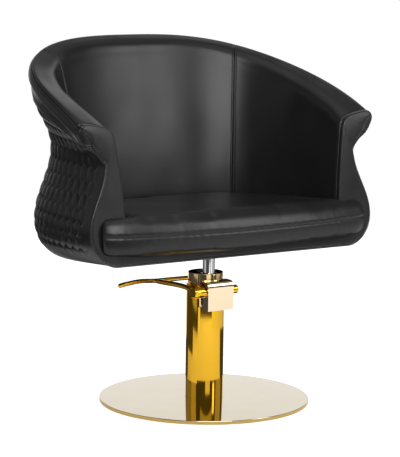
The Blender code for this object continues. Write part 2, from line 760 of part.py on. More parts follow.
def frame_section(place):
    """Plywood tub close behind the inner covers."""
    share = plan(place)[2]
    heights = inner_heights(rim_height(share) - LIP_HEIGHT - 0.0220, BOARD_Z, 4)
    back = INNER_THICKNESS + LAYER_GAP
    inner = [(inner_offset(share, z) - back, z) for z in heights]
    outer = [(inner_offset(share, z) - back - FRAME_THICKNESS, z) for z in heights]
    return outer, inner


def foam_section(place):
    """Foam between the plywood tub and the quilted cover, below the waist."""
    share = plan(place)[2]
    outer = outer_profile(share, OUTER_THICKNESS + LAYER_GAP, False)
    heights = inner_heights(outer[0][1], outer[-1][1], 4, len(outer) - 5)
    back = INNER_THICKNESS + FRAME_THICKNESS + LAYER_GAP * 2
    inner = [(inner_offset(share, z) - back, z) for z in heights]
    return outer, inner


def inner_section(place):
    """Padded inside cover, from under the rim down to the seat board."""
    share = plan(place)[2]
    drop = mix(RIM_FRONT_DROP, RIM_BACK_DROP, share)
    heights = inner_heights(rim_height(share) - drop - RIM_SIDE, BOARD_Z, 5)
    inner = [(inner_offset(share, z), z) for z in heights]
    outer = [(inner_offset(share, z) - INNER_THICKNESS, z) for z in heights]
    return outer, inner


def rim_section(place):
    """Padded roll over the top of the wall: lip, crown and inner edge."""
    share = plan(place)[2]
    top = rim_height(share)
    width = mix(RIM_FRONT_WIDTH, RIM_BACK_WIDTH, share)
    drop = mix(RIM_FRONT_DROP, RIM_BACK_DROP, share)
    side = RIM_SIDE - LAYER_GAP
    crown = [(0.0040, top - LIP_HEIGHT - 0.0070), (0.0, top - 0.0190), (0.0008, top - 0.0080),
             (0.0060, top - 0.0015), (width * 0.30, top - drop * 0.10),
             (width * 0.65, top - drop * 0.50), (width - 0.0090, top - drop - 0.0010),
             (width - 0.0010, top - drop - 0.0100),
             (inner_offset(share, top - drop - side), top - drop - side)]
    under = [(0.0100, top - LIP_HEIGHT - 0.0070), (0.0120, top - LIP_HEIGHT - 0.0040),
             (0.0180, top - LIP_HEIGHT - 0.0040), (width * 0.35, top - LIP_HEIGHT - 0.0060),
             (width * 0.45, top - LIP_HEIGHT - 0.0080), (width * 0.60, top - LIP_HEIGHT - 0.0100),
             (width * 0.68, top - drop - side - 0.0020), (width * 0.76, top - drop - side - 0.0010),
             (width * 0.84, top - drop - side)]
    return crown, under


def make_wall_layers():
    """Each layer of the wall in three panels that meet at the stitched seams."""
    layers = (("outer_panel", outer_section, LEATHER), ("frame", frame_section, PLYWOOD),
              ("foam", foam_section, FOAM), ("inner_panel", inner_section, LEATHER),
              ("rim", rim_section, LEATHER))
    for layer, section, look in layers:
        for side, low, high, count in PANELS:
            loft(f"{layer}_{side}", stations(low, high, count), section, look)


# ---------------------------------------------------------------- seat

def tub_outline(offset, height, count=28):
    """Plan outline inside the wall at one height, from the left arm round to the right."""
    return [wall_point(place, offset, height).xy for place in stations(0.0, 1.0, count)]


def make_facing(name, side):
    """Padded front panel of one arm, leaning with the arm's front."""
    top = RIM_FRONT_Z - 0.0010
    lip = top - LIP_HEIGHT
    heights = [BOTTOM_FRONT_Z + 0.0004 + (lip - BOTTOM_FRONT_Z) * i / 16 for i in range(17)]
    outer = [(HALF_WIDTH - outer_offset(0.0, z), z) for z in heights]
    outer += [(HALF_WIDTH, top - 0.0180), (HALF_WIDTH - 0.0008, top - 0.0080),
              (HALF_WIDTH - 0.0060, top - 0.0010)]
    inner = [(HALF_WIDTH - 0.070, top - 0.0100), (HALF_WIDTH - 0.0780, top - 0.0180),
             (HALF_WIDTH - inner_offset(0.0, 0.56), 0.56),
             (HALF_WIDTH - SEAT_IN, SEAT_Z), (HALF_WIDTH - SEAT_IN, BOTTOM_FRONT_Z + 0.0004)]
    points = [(side * x, z - RIM_FRONT_Z) for x, z in outer + inner]
    facing = outline_plate(points, FACING_THICKNESS)
    facing.rotation_euler = (pi / 2 - asin(FRONT_LEAN), 0.0, 0.0)
    facing.location = (0.0, ARM_FRONT_Y - FACING_THICKNESS / 2 - 0.0010, RIM_FRONT_Z)
    return finish(as_mesh(facing), name, LEATHER, 40)


def front_at(height):
    """Where the facings' front surface stands at a height."""
    return ARM_FRONT_Y - FRONT_LEAN * (RIM_FRONT_Z - height) - FACING_THICKNESS - 0.0010


def make_front_rail():
    """Wooden rail between the arms, under the front of the cushion."""
    half = HALF_WIDTH - SEAT_IN - 0.020
    front = front_at(0.348) + FACING_THICKNESS + 0.0010
    rail = box((-half, front, BOARD_Z), (half, front + RAIL_DEPTH, BOARD_Z + BOARD_THICKNESS))
    return finish(rail, "front_rail", PLYWOOD)


def make_front_rail_cover():
    """Padded strip over the rail, level with the facings."""
    half = HALF_WIDTH - SEAT_IN - 0.0060
    front = front_at(0.348)
    cover = box((-half, front, BOTTOM_FRONT_Z + 0.0004),
                (half, front + FACING_THICKNESS, 0.3575))
    bevel(cover, 0.0035)
    return finish(cover, "front_rail_cover", LEATHER)


def make_seat_board():
    """Plywood board that carries the cushion."""
    offset = SEAT_IN + 0.0080
    front = front_at(0.348) + FACING_THICKNESS + 0.0010 + RAIL_DEPTH + GAP
    points = [(p.x, max(p.y, front)) for p in tub_outline(offset, BOARD_Z)]
    board = outline_plate(points, BOARD_THICKNESS)
    board.location = (0.0, 0.0, BOARD_Z + BOARD_THICKNESS / 2)
    solid = as_mesh(board)
    for index, (x, y) in enumerate(mount_bolt_places()):
        hole = cylinder(0.0044, BOARD_Z - 0.01, BOARD_Z + 0.0085, x, y, 12)
        cut(solid, as_cutter(hole, f"cut_board_{index}"))
    return finish(solid, "seat_board", PLYWOOD)


def make_dust_cover():
    """Cloth closing the tub's underside, round the seat plate."""
    points = tub_outline(0.0960, BOTTOM_FRONT_Z)
    margin = PLATE_SIDE / 2 + 0.006
    opening = [(-margin, ROD_Y - margin), (margin, ROD_Y - margin),
               (margin, ROD_Y + margin), (-margin, ROD_Y + margin)]
    sheet = as_mesh(outline_plate(points, 0.0016, (opening,)))
    front, back = ARM_FRONT_Y, ARM_FRONT_Y + TUB_DEPTH
    for vertex in sheet.data.vertices:
        share = (vertex.co.y - front) / (back - front)
        vertex.co.z += mix(BOTTOM_FRONT_Z + 0.0016, BOTTOM_BACK_Z + 0.0016, max(share, 0.0))
    return finish(sheet, "dust_cover", CLOTH)


def cushion_outline():
    """T-shaped outline of the cushion: body between the arms, roll in front of them."""
    body = [wall_point(place, SEAT_IN + 0.0030, SEAT_Z).xy for place in stations(0.03, 0.5, 9)]
    right_body = [Vector((-p.x, p.y)) for p in body]
    half_body = HALF_WIDTH - SEAT_IN - 0.0030
    right_side = [(CUSHION_HALF_WIDTH - 0.0030, EAR_BACK_Y), (half_body, EAR_BACK_Y)]
    front = []
    for step in range(9):
        share = step / 8
        x = -CUSHION_HALF_WIDTH + 2 * CUSHION_HALF_WIDTH * share
        bow = 1 - (2 * share - 1) ** 2
        front.append((x, mix(EAR_FRONT_Y, CUSHION_FRONT_Y, bow)))
    left_side = [(-x, y) for x, y in reversed(right_side)]
    return front + right_side + right_body[:-1] + list(reversed(body)) + left_side


def make_cushion():
    """Plain solid of the seat cushion, thicker in front."""
    points = [(p[0], p[1]) for p in cushion_outline()]
    cushion = as_mesh(outline_plate(points, 1.0))
    back = ARM_FRONT_Y + TUB_DEPTH - SEAT_IN
    for vertex in cushion.data.vertices:
        point = vertex.co
        upper = point.z > 0
        share = min(max((point.y - EAR_BACK_Y) / (back - EAR_BACK_Y), 0.0), 1.0)
        on_ear_back = abs(point.y - EAR_BACK_Y) < 0.0001
        point.z = mix(CUSHION_FRONT_TOP, CUSHION_BACK_TOP, share) if upper else CUSHION_BOTTOM
        if on_ear_back:
            point.y = front_at(point.z) - 0.0012
    cushion.data.update()
    bevel(cushion, 0.0120, 2, 60)
    return finish(cushion, "seat_cushion", LEATHER)


def main():
    """Build every sub-part."""
    make_floor_pad()
    make_base_plate()
    make_base_bolts()
    make_base_cover()
    make_column_foot()
    make_column_tube()
    make_reservoir()
    make_ram_cylinder()
    make_pump_head()
    make_rod_bush()
    make_rod_wiper()
    make_housing()
    make_bracket_screws()
    make_shaft_bush("shaft_bush_left", -1)
    make_shaft_bush("shaft_bush_right", 1)
    lever = [make_lever_shaft(), make_shaft_knob(), make_lever_hub(), make_hub_screw(),
             make_lever_arm(), make_foot_bar(), make_crank()]
    for piece in lever:
        with_origin(piece, (0.0, SHAFT_Y, SHAFT_Z))
    make_plunger()
    make_plunger_spring()
    make_piston_head()
    make_piston_seal()
    make_thrust_washer()
    make_piston_rod()
    make_mount_socket()
    make_mount_plate()
    make_mount_bolts()
    make_wall_layers()
    make_facing("arm_facing_left", -1)
    make_facing("arm_facing_right", 1)
    make_front_rail()
    make_front_rail_cover()
    make_seat_board()
    make_dust_cover()
    make_cushion()


main()
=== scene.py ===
"""Looks of the styling chair: quilted leather tub, gold pump column and mirror disc.

Lengths are in metres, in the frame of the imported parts: origin on the floor at the centre of
the disc, +Z up, the seat faces -Y and the sitter's right hand is at -X.
"""

import json
from math import cos, pi, radians, sin, sqrt

import bmesh
import bpy
import numpy as np
from mathutils import Matrix, Vector
from mathutils.bvhtree import BVHTree


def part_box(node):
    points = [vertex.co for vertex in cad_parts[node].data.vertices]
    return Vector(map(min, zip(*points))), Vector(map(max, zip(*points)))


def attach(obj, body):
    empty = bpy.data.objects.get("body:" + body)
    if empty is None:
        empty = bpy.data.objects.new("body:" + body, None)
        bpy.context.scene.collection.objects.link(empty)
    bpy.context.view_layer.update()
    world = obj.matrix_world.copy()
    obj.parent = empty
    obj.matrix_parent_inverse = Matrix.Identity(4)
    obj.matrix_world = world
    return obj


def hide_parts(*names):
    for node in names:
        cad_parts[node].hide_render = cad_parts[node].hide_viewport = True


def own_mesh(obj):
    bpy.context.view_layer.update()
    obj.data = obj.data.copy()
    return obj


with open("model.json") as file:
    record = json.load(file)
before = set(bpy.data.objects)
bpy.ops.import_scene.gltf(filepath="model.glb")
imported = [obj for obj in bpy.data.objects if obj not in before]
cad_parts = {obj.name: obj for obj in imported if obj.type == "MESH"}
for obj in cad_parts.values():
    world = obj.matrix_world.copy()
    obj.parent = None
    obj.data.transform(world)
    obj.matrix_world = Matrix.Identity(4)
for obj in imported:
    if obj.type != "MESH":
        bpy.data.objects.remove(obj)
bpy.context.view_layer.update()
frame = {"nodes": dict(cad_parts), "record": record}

# Column and base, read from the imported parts
DISC_LOW, DISC_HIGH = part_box("base_cover")
DISC_RADIUS, DISC_TOP = DISC_HIGH.x, DISC_HIGH.z
TUBE_LOW, TUBE_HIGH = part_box("column_tube")
COLUMN_RADIUS, COLUMN_TOP = TUBE_HIGH.x, TUBE_HIGH.z
HEAD_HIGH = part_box("pump_head")[1]
HEAD_RADIUS, HEAD_TOP = HEAD_HIGH.x, HEAD_HIGH.z
ROD_LOW, ROD_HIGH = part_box("piston_rod")
ROD_RADIUS, ROD_Y = ROD_HIGH.x, (ROD_LOW.y + ROD_HIGH.y) / 2
SHAFT_LOW, SHAFT_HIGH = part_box("lever_shaft")
SHAFT_Y, SHAFT_Z = (SHAFT_LOW.y + SHAFT_HIGH.y) / 2, (SHAFT_LOW.z + SHAFT_HIGH.z) / 2
COLUMN_WALL = 0.0025
SPRING_TURNS, SPRING_WIRE = 4, 0.0012
ROUND_STEPS = 160

# Tub: plan curve and heights; a pair is for the front of the arms and the middle of the back
HALF_WIDTH = 0.3810
TUB_DEPTH = 0.4250
PLAN_POWER = 2.75
ARM_FRONT_Y = -0.0840
FRONT_LEAN = 0.090
RIM_Z = (0.6330, 0.7850)
RIM_RISE_POWER = 1.17
RIM_SWELL = 0.0740
RIM_SWELL_START, RIM_SWELL_END = 0.8, 2.2
WAIST_Z = (0.5480, 0.5640)
BULGE_Z = (0.4080, 0.3980)
BOTTOM_Z = (0.3390, 0.3100)
WAIST_IN = (0.0610, 0.0400)
BULGE_IN = (0.0200, 0.0040)
ROLL_UNDER = 0.0650
LIP_HEIGHT = 0.0290
RIM_WIDTH = (0.0850, 0.0460)
RIM_DROP = (0.0100, 0.0200)
CORNER_DROP = (0.0046, 0.0004)
# Crown of the rim: rows of (share of its width, drop below the outer edge)
CROWN_FRONT = ((0.20, -0.0006), (0.45, 0.0020), (0.68, 0.0058),
               (0.86, 0.0115), (0.97, 0.0200), (1.03, 0.0320))
CROWN_BACK = ((0.20, -0.0012), (0.45, 0.0030), (0.70, 0.0080),
              (0.90, 0.0150), (1.00, 0.0240), (1.06, 0.0350))
SEAT_IN = 0.1060
WALL_CURVE = 1.35
SEAT_Z = 0.4300
SIDE_SEAM = 0.295
FACING_THICKNESS = 0.0110
BAND_HEIGHT = 0.0470
WINDOW_SIZE, WINDOW_AT = (0.068, 0.066, 0.090), (0.0, -0.046, 0.2595)

# Covers and seams
COVER_THICKNESS = 0.0020
EDGE_ROLL = 0.0034
EDGE_DROP = 0.0015
RIDGE_AT = 0.0024
RIDGE_HEIGHT = 0.0003
STITCH_AT = 0.0045
STITCH_DEPTH = 0.0007
STITCH_STEP = 5
STITCH_PITCH = 0.0052
STITCH_LENGTH = 0.0040
THREAD_RADIUS = 0.0004
THREAD_SIDES = 5
WRAP_STEPS = 16
CELL_WIDTH = 0.0285
CELL_PITCH = 0.0293
PUFF = 0.0042
ROW_LEVEL = 0.4700
PIPING_RADIUS = 0.0016

# Seat cushion
CUSHION_SLACK = 0.0044
CUSHION_HALF = 0.3450
CUSHION_LOW = 0.3580
CUSHION_TOP = (0.4440, 0.4230)
EAR_FRONT_Y = -0.1500
CUSHION_FRONT_Y = -0.1760
CUSHION_SEAM = (0.4000, 0.4040)
CUSHION_STITCH_RISE = 0.0048
CUSHION_LEVEL = 0.4000
CUSHION_MIDDLE = 0.4020
SEAM_FOLD, SEAM_RIDGE = 0.0020, 0.0006
GATHER_DEPTH, GATHER_PITCH = 0.00025, 0.0210
CUSHION_UNEVEN = 0.0008
CUSHION_SWELL = 0.0050
SWELL_FRAMES = 20

# Camera, floor and lights
CAMERA_AZIMUTH = -33.9
CAMERA_DISTANCE = 4.337
CAMERA_HEIGHT = 1.0355
CAMERA_DIP = 0.1496
CAMERA_YAW = -0.0031
CAMERA_ROLL = 0.0132
CAMERA_LENS = 158.6
FLOOR_RADIUS = 2.60
# Parts of the floor that glow in reflections: middle and half width in degrees, radii, glow
BRIGHT_FLOOR = (("floor_near", -40.0, 110.0, 0.0, 0.84, 0.25),
                ("floor_front", -27.0, 36.0, 0.84, 1.02, 0.30),
                ("floor_left", -86.0, 23.0, 0.84, 2.60, 0.35),
                ("floor_right", 56.0, 48.0, 0.84, 2.60, 0.17),
                ("floor_behind", 150.0, 32.0, 0.84, 2.60, 0.60))
# Soft panels: azimuth, elevation, distance, width, height, radiance
PANEL_LIGHTS = (("key_panel", -21, 34, 2.4, 1.6, 1.7, 5.0),
                ("side_panel", 36, 27, 2.4, 0.75, 1.2, 5.2),
                ("low_panel", 24, 2, 2.3, 0.50, 0.5, 2.0),
                ("disc_glint", -13, -2.4, 2.4, 1.2, 0.25, 1.0),
                ("front_fill", -20, 32, 3.0, 4.4, 2.2, 0.40),
                ("right_fill", 62, 8, 3.0, 2.4, 1.6, 0.42),
                ("left_fill", -100, 8, 3.0, 1.7, 1.4, 0.45),
                ("back_panel", 146, 15, 2.6, 3.6, 2.1, 0.89),
                ("far_panel", -140, 15, 2.6, 2.6, 1.8, 0.22),
                ("top_panel", 0, 90, 2.2, 2.2, 2.2, 0.6))


# ---------------- numbers

def mix(low, high, share):
    """Blend from the low value to the high value."""
    return low + (high - low) * share


def smooth(value):
    """Rise from 0 to 1 along half a cosine; takes numbers or arrays."""
    return (1 - np.cos(pi * np.clip(value, 0.0, 1.0))) / 2


def catmull(points, count):
    """A smooth curve through the points, as count points evenly spaced along it."""
    p = np.array(points, float)
    p = np.vstack([2 * p[0] - p[1], p, 2 * p[-1] - p[-2]])
    fine = []
    for i in range(1, len(p) - 2):
        t = np.linspace(0.0, 1.0, 12, endpoint=False)[:, None]
        a, b, c, d = p[i - 1], p[i], p[i + 1], p[i + 2]
        fine.append(0.5 * (2 * b + (c - a) * t + (2 * a - 5 * b + 4 * c - d) * t ** 2
                           + (3 * b - a - 3 * c + d) * t ** 3))
    fine = np.vstack(fine + [p[-2:-1]])
    return evenly(fine, count)


def distances(path):
    """Distance of each point of a path from its start, along it."""
    return np.concatenate([[0.0], np.cumsum(np.linalg.norm(np.diff(path, axis=0), axis=1))])


def walk(path, at):
    """Points at distances along a path."""
    along = distances(path)
    return np.stack([np.interp(at, along, path[:, k]) for k in range(path.shape[1])], 1)


def evenly(path, count):
    """The same path as count points evenly spaced along it."""
    path = np.asarray(path, float)
    return walk(path, np.linspace(0.0, distances(path)[-1], count))


def lengths(grid, axis):
    """Distance along one axis of a grid of points, from its first row."""
    steps = np.linalg.norm(np.diff(grid, axis=axis), axis=2)
    start = np.zeros_like(np.take(steps, [0], axis))
    return np.concatenate([start, np.cumsum(steps, axis)], axis)


def waves(points, scale, seed):
    """Soft unevenness of worn padding, from -1 to 1, at the points of an array."""
    chance = np.random.default_rng(seed)
    total = np.zeros(points.shape[:-1])
    for _ in range(9):
        direction = chance.normal(size=3)
        direction *= 2 * pi / (scale * chance.uniform(0.7, 1.6) * np.linalg.norm(direction))
        total += np.sin(points @ direction + chance.uniform(0, 2 * pi))
    return total / 4.5


# ---------------- tub geometry

def plan(place):
    """Point, outward normal and depth share of the rim's outer edge, seen from above."""
    angle = pi * min(max(place, 0.0), 1.0)
    power = 2 / PLAN_POWER
    c, s = cos(angle), max(sin(angle), 0.0)
    x = -HALF_WIDTH * (abs(c) ** power) * (1 if c > 0 else -1)
    share = s ** power
    rise = PLAN_POWER - 1
    normal = np.array([(x / HALF_WIDTH) * abs(x / HALF_WIDTH) ** (rise - 1) / HALF_WIDTH,
                       share ** rise / TUB_DEPTH])
    return np.array([x, TUB_DEPTH * share]), normal / np.linalg.norm(normal), share


def rim_height(share):
    """Height of the rim's outer edge."""
    swell = RIM_SWELL * share ** RIM_SWELL_START * (1 - share) ** RIM_SWELL_END
    return mix(*RIM_Z, share ** RIM_RISE_POWER) + swell


def wall_points(place, profile):
    """Points of the wall at one place along the plan, from rows of (offset, height)."""
    point, normal, share = plan(place)
    lean = FRONT_LEAN * (RIM_Z[0] - profile[:, 1]) * (1 - share)
    flat = point - profile[:, :1] * normal
    return np.stack([flat[:, 0], flat[:, 1] + ARM_FRONT_Y - lean, profile[:, 1]], 1)


def outer_offset(share, height):
    """Offset of the outer surface at a height: bulge, waist and lip."""
    bulge, waist = mix(*BULGE_Z, share), mix(*WAIST_Z, share)
    bulge_in, waist_in = mix(*BULGE_IN, share), mix(*WAIST_IN, share)
    lip = rim_height(share) - LIP_HEIGHT
    low = bulge_in + (waist_in - bulge_in) * smooth((height - bulge) / (waist - bulge))
    high = waist_in - (waist_in - 0.004) * smooth((height - waist) / (lip - waist))
    return np.where(height < waist, low, high)


def inner_offset(share, height):
    """Offset of the inner surface at a height."""
    top = rim_height(share) - mix(*RIM_DROP, share)
    rim_in = mix(*RIM_WIDTH, share)
    down = np.clip((top - height) / (top - SEAT_Z), 0.0, 1.0)
    return rim_in + (SEAT_IN - rim_in) * (1 - (1 - down) ** WALL_CURVE)


def outer_profile(place, count):
    """Rows of (offset, height) from the rim's corner seam down and under the tub."""
    share = plan(place)[2]
    top = rim_height(share)
    bulge, bottom = mix(*BULGE_Z, share), mix(*BOTTOM_Z, share)
    bulge_in = mix(*BULGE_IN, share)
    low = mix(*CORNER_DROP, sqrt(share))
    rows = [(0.0066, top - 0.0004 - low), (0.0018, top - 0.0060 - low), (0.0, top - 0.0180)]
    heights = np.linspace(top - LIP_HEIGHT, bulge, 12)
    rows += list(zip(outer_offset(share, heights), heights))
    for angle in np.linspace(0, pi / 2, 8)[1:]:
        rows.append((bulge_in + ROLL_UNDER * (1 - cos(angle)), bulge - (bulge - bottom) * sin(angle)))
    rows.append((max(bulge_in + ROLL_UNDER + 0.0100, 0.0955), bottom + 0.0008 + 0.0045 * share))
    return catmull(rows, count)


def inner_profile(place, count):
    """Rows of (offset, height) from the rim's corner seam over the crown and down inside."""
    share = plan(place)[2]
    top, width = rim_height(share), mix(*RIM_WIDTH, share)
    rows = [(0.0074, top - mix(*CORNER_DROP, sqrt(share)))]
    for front, back in zip(CROWN_FRONT, CROWN_BACK):
        across, low = mix(np.array(front), np.array(back), sqrt(share))
        rows.append((width * across, top - low))
    heights = np.linspace(top - 0.0500, 0.395, 9)
    rows += list(zip(inner_offset(share, heights), heights))
    return catmull(rows, count)


def corner_inset(height):
    """How far the facing's outer seam lies in from the arm's side at a height."""
    off = height - RIM_Z[0] + 0.0300
    return 0.0015 + 0.0220 * np.exp(-(off / np.where(off > 0, 0.0175, 0.0280)) ** 2)


def front_at(height):
    """Where the facings' front surface stands at a height."""
    return ARM_FRONT_Y - FRONT_LEAN * (RIM_Z[0] - height) - FACING_THICKNESS - 0.0010


# ---------------- mesh helpers

def mesh_object(name, points, faces):
    """A new smooth-shaded object from points and faces, linked into the scene."""
    mesh = bpy.data.meshes.new(name)
    mesh.from_pydata([tuple(p) for p in points], [], [tuple(int(i) for i in f) for f in faces])
    mesh.polygons.foreach_set("use_smooth", [True] * len(mesh.polygons))
    mesh.update()
    obj = bpy.data.objects.new(name, mesh)
    bpy.context.scene.collection.objects.link(obj)
    return obj


def grid_normals(grid):
    """Unit normals of a grid of points."""
    normal = np.cross(np.gradient(grid, axis=0), np.gradient(grid, axis=1))
    return normal / np.maximum(np.linalg.norm(normal, axis=2, keepdims=True), 1e-12)


def fix_normals(obj, weld=False):
    """Point every face outwards; weld first joins points together and drops flat faces."""
    shape = bmesh.new()
    shape.from_mesh(obj.data)
    if weld:
        bmesh.ops.remove_doubles(shape, verts=shape.verts, dist=1e-6)
        bmesh.ops.dissolve_degenerate(shape, edges=shape.edges, dist=1e-6)
    bmesh.ops.recalc_face_normals(shape, faces=shape.faces)
    shape.to_mesh(obj.data)
    shape.free()


def edge_roll(distance):
    """How far a padded cover sinks near its sewn edge."""
    share = np.clip(1 - distance / EDGE_ROLL, 0.0, 1.0)
    return EDGE_DROP * (1 - np.sqrt(1 - share ** 2 * 0.999))


def turned(name, profile, x=0.0, y=0.0, steps=ROUND_STEPS):
    """A closed body turned from rows of (radius, height) about a vertical axis."""
    angles = np.linspace(0, 2 * pi, steps, endpoint=False)
    profile = np.asarray(profile, float)
    ring = np.stack([np.cos(angles), np.sin(angles)], 1)
    count = len(profile)
    points = np.zeros((steps, count, 3))
    points[:, :, 0] = ring[:, :1] * profile[:, 0] + x
    points[:, :, 1] = ring[:, 1:] * profile[:, 0] + y
    points[:, :, 2] = profile[:, 1]
    index = np.arange(steps * count).reshape(steps, count)
    turn = np.roll(index, -1, 0)
    nxt = np.roll(index, -1, 1)
    both = np.roll(turn, -1, 1)
    faces = np.stack([index, turn, both, nxt], 2).reshape(-1, 4)
    obj = mesh_object(name, points.reshape(-1, 3), faces)
    fix_normals(obj, weld=True)
    return obj


def sharp(obj, angle=35.0):
    """Smooth shading with hard edges above an angle."""
    obj.data.set_sharp_from_angle(angle=radians(angle))
    return obj


def frames_along(path):
    """Two unit vectors across a path at each of its points, turning as little as they can."""
    tangent = np.gradient(path, axis=0)
    tangent /= np.linalg.norm(tangent, axis=1, keepdims=True)
    side = np.cross(tangent[0], [0.0, 0.0, 1.0])
    if np.linalg.norm(side) < 0.1:
        side = np.cross(tangent[0], [1.0, 0.0, 0.0])
    sides = []
    for t in tangent:
        side = side - t * (side @ t)
        side = side / np.linalg.norm(side)
        sides.append(side)
    sides = np.array(sides)
    return sides, np.cross(tangent, sides)


def tube(name, path, radius, sides=10, round_ends=False):
    """A closed round bar along a path; its ends are flat or domed."""
    path = np.asarray(path, float)
    across, up = frames_along(path)
    radii = np.full(len(path), float(radius))
    if round_ends:
        along = distances(path)
        near = np.minimum(along, along[-1] - along)
        radii *= np.sqrt(np.clip(1 - (1 - np.clip(near / radius, 0, 1)) ** 2, 0.02, 1))
    angles = np.linspace(0, 2 * pi, sides, endpoint=False)
    ring = (across[:, None] * np.cos(angles)[None, :, None]
            + up[:, None] * np.sin(angles)[None, :, None])
    points = (path[:, None] + ring * radii[:, None, None]).reshape(-1, 3)
    index = np.arange(len(path) * sides).reshape(len(path), sides)
    turn = np.roll(index, -1, 1)
    faces = np.stack([index[:-1], turn[:-1], turn[1:], index[1:]], 2).reshape(-1, 4).tolist()
    faces += [index[0][::-1].tolist(), index[-1].tolist()]
    obj = mesh_object(name, points, faces)
    fix_normals(obj)
    return obj


# ---------------- materials

class Nodes:
    """A short way to add and link the nodes of one material."""

    def __init__(self, name):
        self.material = bpy.data.materials.new(name)
        self.material.use_nodes = True
        self.tree = self.material.node_tree
        self.shader = self.tree.nodes["Principled BSDF"]
        self.place = self.add("ShaderNodeTexCoord").outputs["Object"]

    def add(self, kind, links=(), **settings):
        """A new node; links are (socket, source) pairs and settings are sockets or attributes."""
        node = self.tree.nodes.new(kind)
        for key, value in settings.items():
            if hasattr(node, key):
                setattr(node, key, value)
            else:
                node.inputs[key.replace("_", " ")].default_value = value
        for socket, source in links:
            self.tree.links.new(source, node.inputs[socket])
        return node

    def noise(self, scale, detail=2.0):
        """Soft random shading of a size."""
        node = self.add("ShaderNodeTexNoise", [("Vector", self.place)], Scale=scale, Detail=detail)
        return node.outputs["Fac"]

    def cells(self, scale, feature="F1"):
        """Distance to the nearest of many scattered points."""
        node = self.add("ShaderNodeTexVoronoi", [("Vector", self.place)], feature=feature, Scale=scale)
        return node.outputs["Distance"]

    def ramp(self, source, low, high, start=0.0, end=1.0):
        """A source between start and end, turned into a value between low and high."""
        node = self.add("ShaderNodeMapRange", [("Value", source)], From_Min=start, From_Max=end,
                        To_Min=low, To_Max=high)
        return node.outputs["Result"]

    def colour(self, source, low, high):
        """A source from 0 to 1, turned into a colour between two."""
        node = self.add("ShaderNodeMix", [("Factor", source)], data_type="RGBA")
        node.inputs[6].default_value = (*low, 1)
        node.inputs[7].default_value = (*high, 1)
        return node.outputs[2]

    def bump(self, source, strength, distance, under=None):
        """A bump of a height in metres, on top of another bump."""
        links = [("Height", source)] + ([("Normal", under)] if under else [])
        node = self.add("ShaderNodeBump", links, Strength=strength, Distance=distance)
        return node.outputs["Normal"]

    def done(self, **sources):
        """Link sources to the shader's sockets, and plain numbers to their values."""
        for key, value in sources.items():
            socket = self.shader.inputs[key.replace("_", " ")]
            if isinstance(value, bpy.types.NodeSocket):
                self.tree.links.new(value, socket)
            else:
                socket.default_value = value
        return self.material


def grey(value, blue=0.0):
    """A grey colour, bluer by an amount."""
    return value, value, value + blue


def leather_material(name, dark, light, rough, gloss=0.40):
    """Black upholstery leather: fine pebbled grain, faint creases, uneven gloss."""
    n = Nodes(name)
    broad, fine = n.noise(9.0, 4.0), n.noise(420.0, 3.0)
    grain = n.cells(760.0, "SMOOTH_F1")
    creases = n.cells(150.0, "DISTANCE_TO_EDGE")
    pebbles = n.bump(grain, 0.22, 0.00035)
    wrinkles = n.bump(n.ramp(creases, 0.0, 1.0, 0.0, 0.12), 0.10, 0.0003, pebbles)
    surface = n.bump(fine, 0.12, 0.00025, wrinkles)
    return n.done(Base_Color=n.colour(broad, dark, light), Roughness=n.ramp(broad, *rough, 0.3, 0.7),
                  Normal=surface, Specular_IOR_Level=gloss)


def metal_material(name, dark, light, rough, streak):
    """Polished or plated metal with faint polishing marks and uneven gloss."""
    n = Nodes(name)
    broad, fine = n.noise(14.0, 3.0), n.noise(900.0, 2.0)
    surface = n.bump(fine, streak, 0.0001)
    return n.done(Base_Color=n.colour(broad, dark, light), Roughness=n.ramp(broad, *rough, 0.3, 0.7),
                  Normal=surface, Metallic=1.0)


def plain_material(name, dark, light, rough, scale, height, weave=False):
    """Rubber, foam, cloth and thread: a matt surface with its own fine texture."""
    n = Nodes(name)
    broad = n.noise(scale / 12, 3.0)
    texture = n.cells(scale) if weave else n.noise(scale, 4.0)
    return n.done(Base_Color=n.colour(broad, dark, light), Roughness=n.ramp(broad, *rough, 0.3, 0.7),
                  Normal=n.bump(texture, 0.5, height), Specular_IOR_Level=0.35)


def plywood_material():
    """Birch plywood: long grain across the sheet with darker veins."""
    n = Nodes("birch_plywood")
    stretch = n.add("ShaderNodeMapping", [("Vector", n.place)])
    stretch.inputs["Scale"].default_value = (4.0, 60.0, 60.0)
    veins = n.add("ShaderNodeTexNoise", [("Vector", stretch.outputs["Vector"])], Scale=1.6, Detail=6.0)
    vein = veins.outputs["Fac"]
    return n.done(Base_Color=n.colour(vein, (0.30, 0.19, 0.10), (0.62, 0.46, 0.28)),
                  Roughness=n.ramp(vein, 0.5, 0.7), Normal=n.bump(vein, 0.3, 0.0003))


LEATHER = leather_material("black_leather", grey(0.0085, 0.0005), grey(0.0140, 0.0005), (0.29, 0.38))
# A darker copy of the black leather for the quilted sides: the darker colour is painted shade.
QUILT_LEATHER_PAINTED_SHADE = leather_material("quilted_leather_painted_shade", grey(0.0070, 0.0004), grey(0.0100, 0.0004),
                                 (0.30, 0.40))
# A lighter copy of the black leather for piping and welts: the lighter colour is a painted highlight;
# the lower roughness and higher gloss are the piping's own.
PIPING_PAINTED_HIGHLIGHT = leather_material("piping_leather_painted_highlight", grey(0.0140, 0.0005), grey(0.0200, 0.0005),
                          (0.20, 0.26), 0.75)
# Black thread coloured a lighter grey: the lighter grey is a painted highlight of the stitches
# catching light.
THREAD_PAINTED_HIGHLIGHT = plain_material("black_thread_painted_highlight", grey(0.012), grey(0.030), (0.45, 0.60), 2400.0, 0.0002)
GOLD = metal_material("polished_gold", (0.78, 0.42, 0.020), (0.86, 0.49, 0.045), (0.05, 0.09), 0.02)
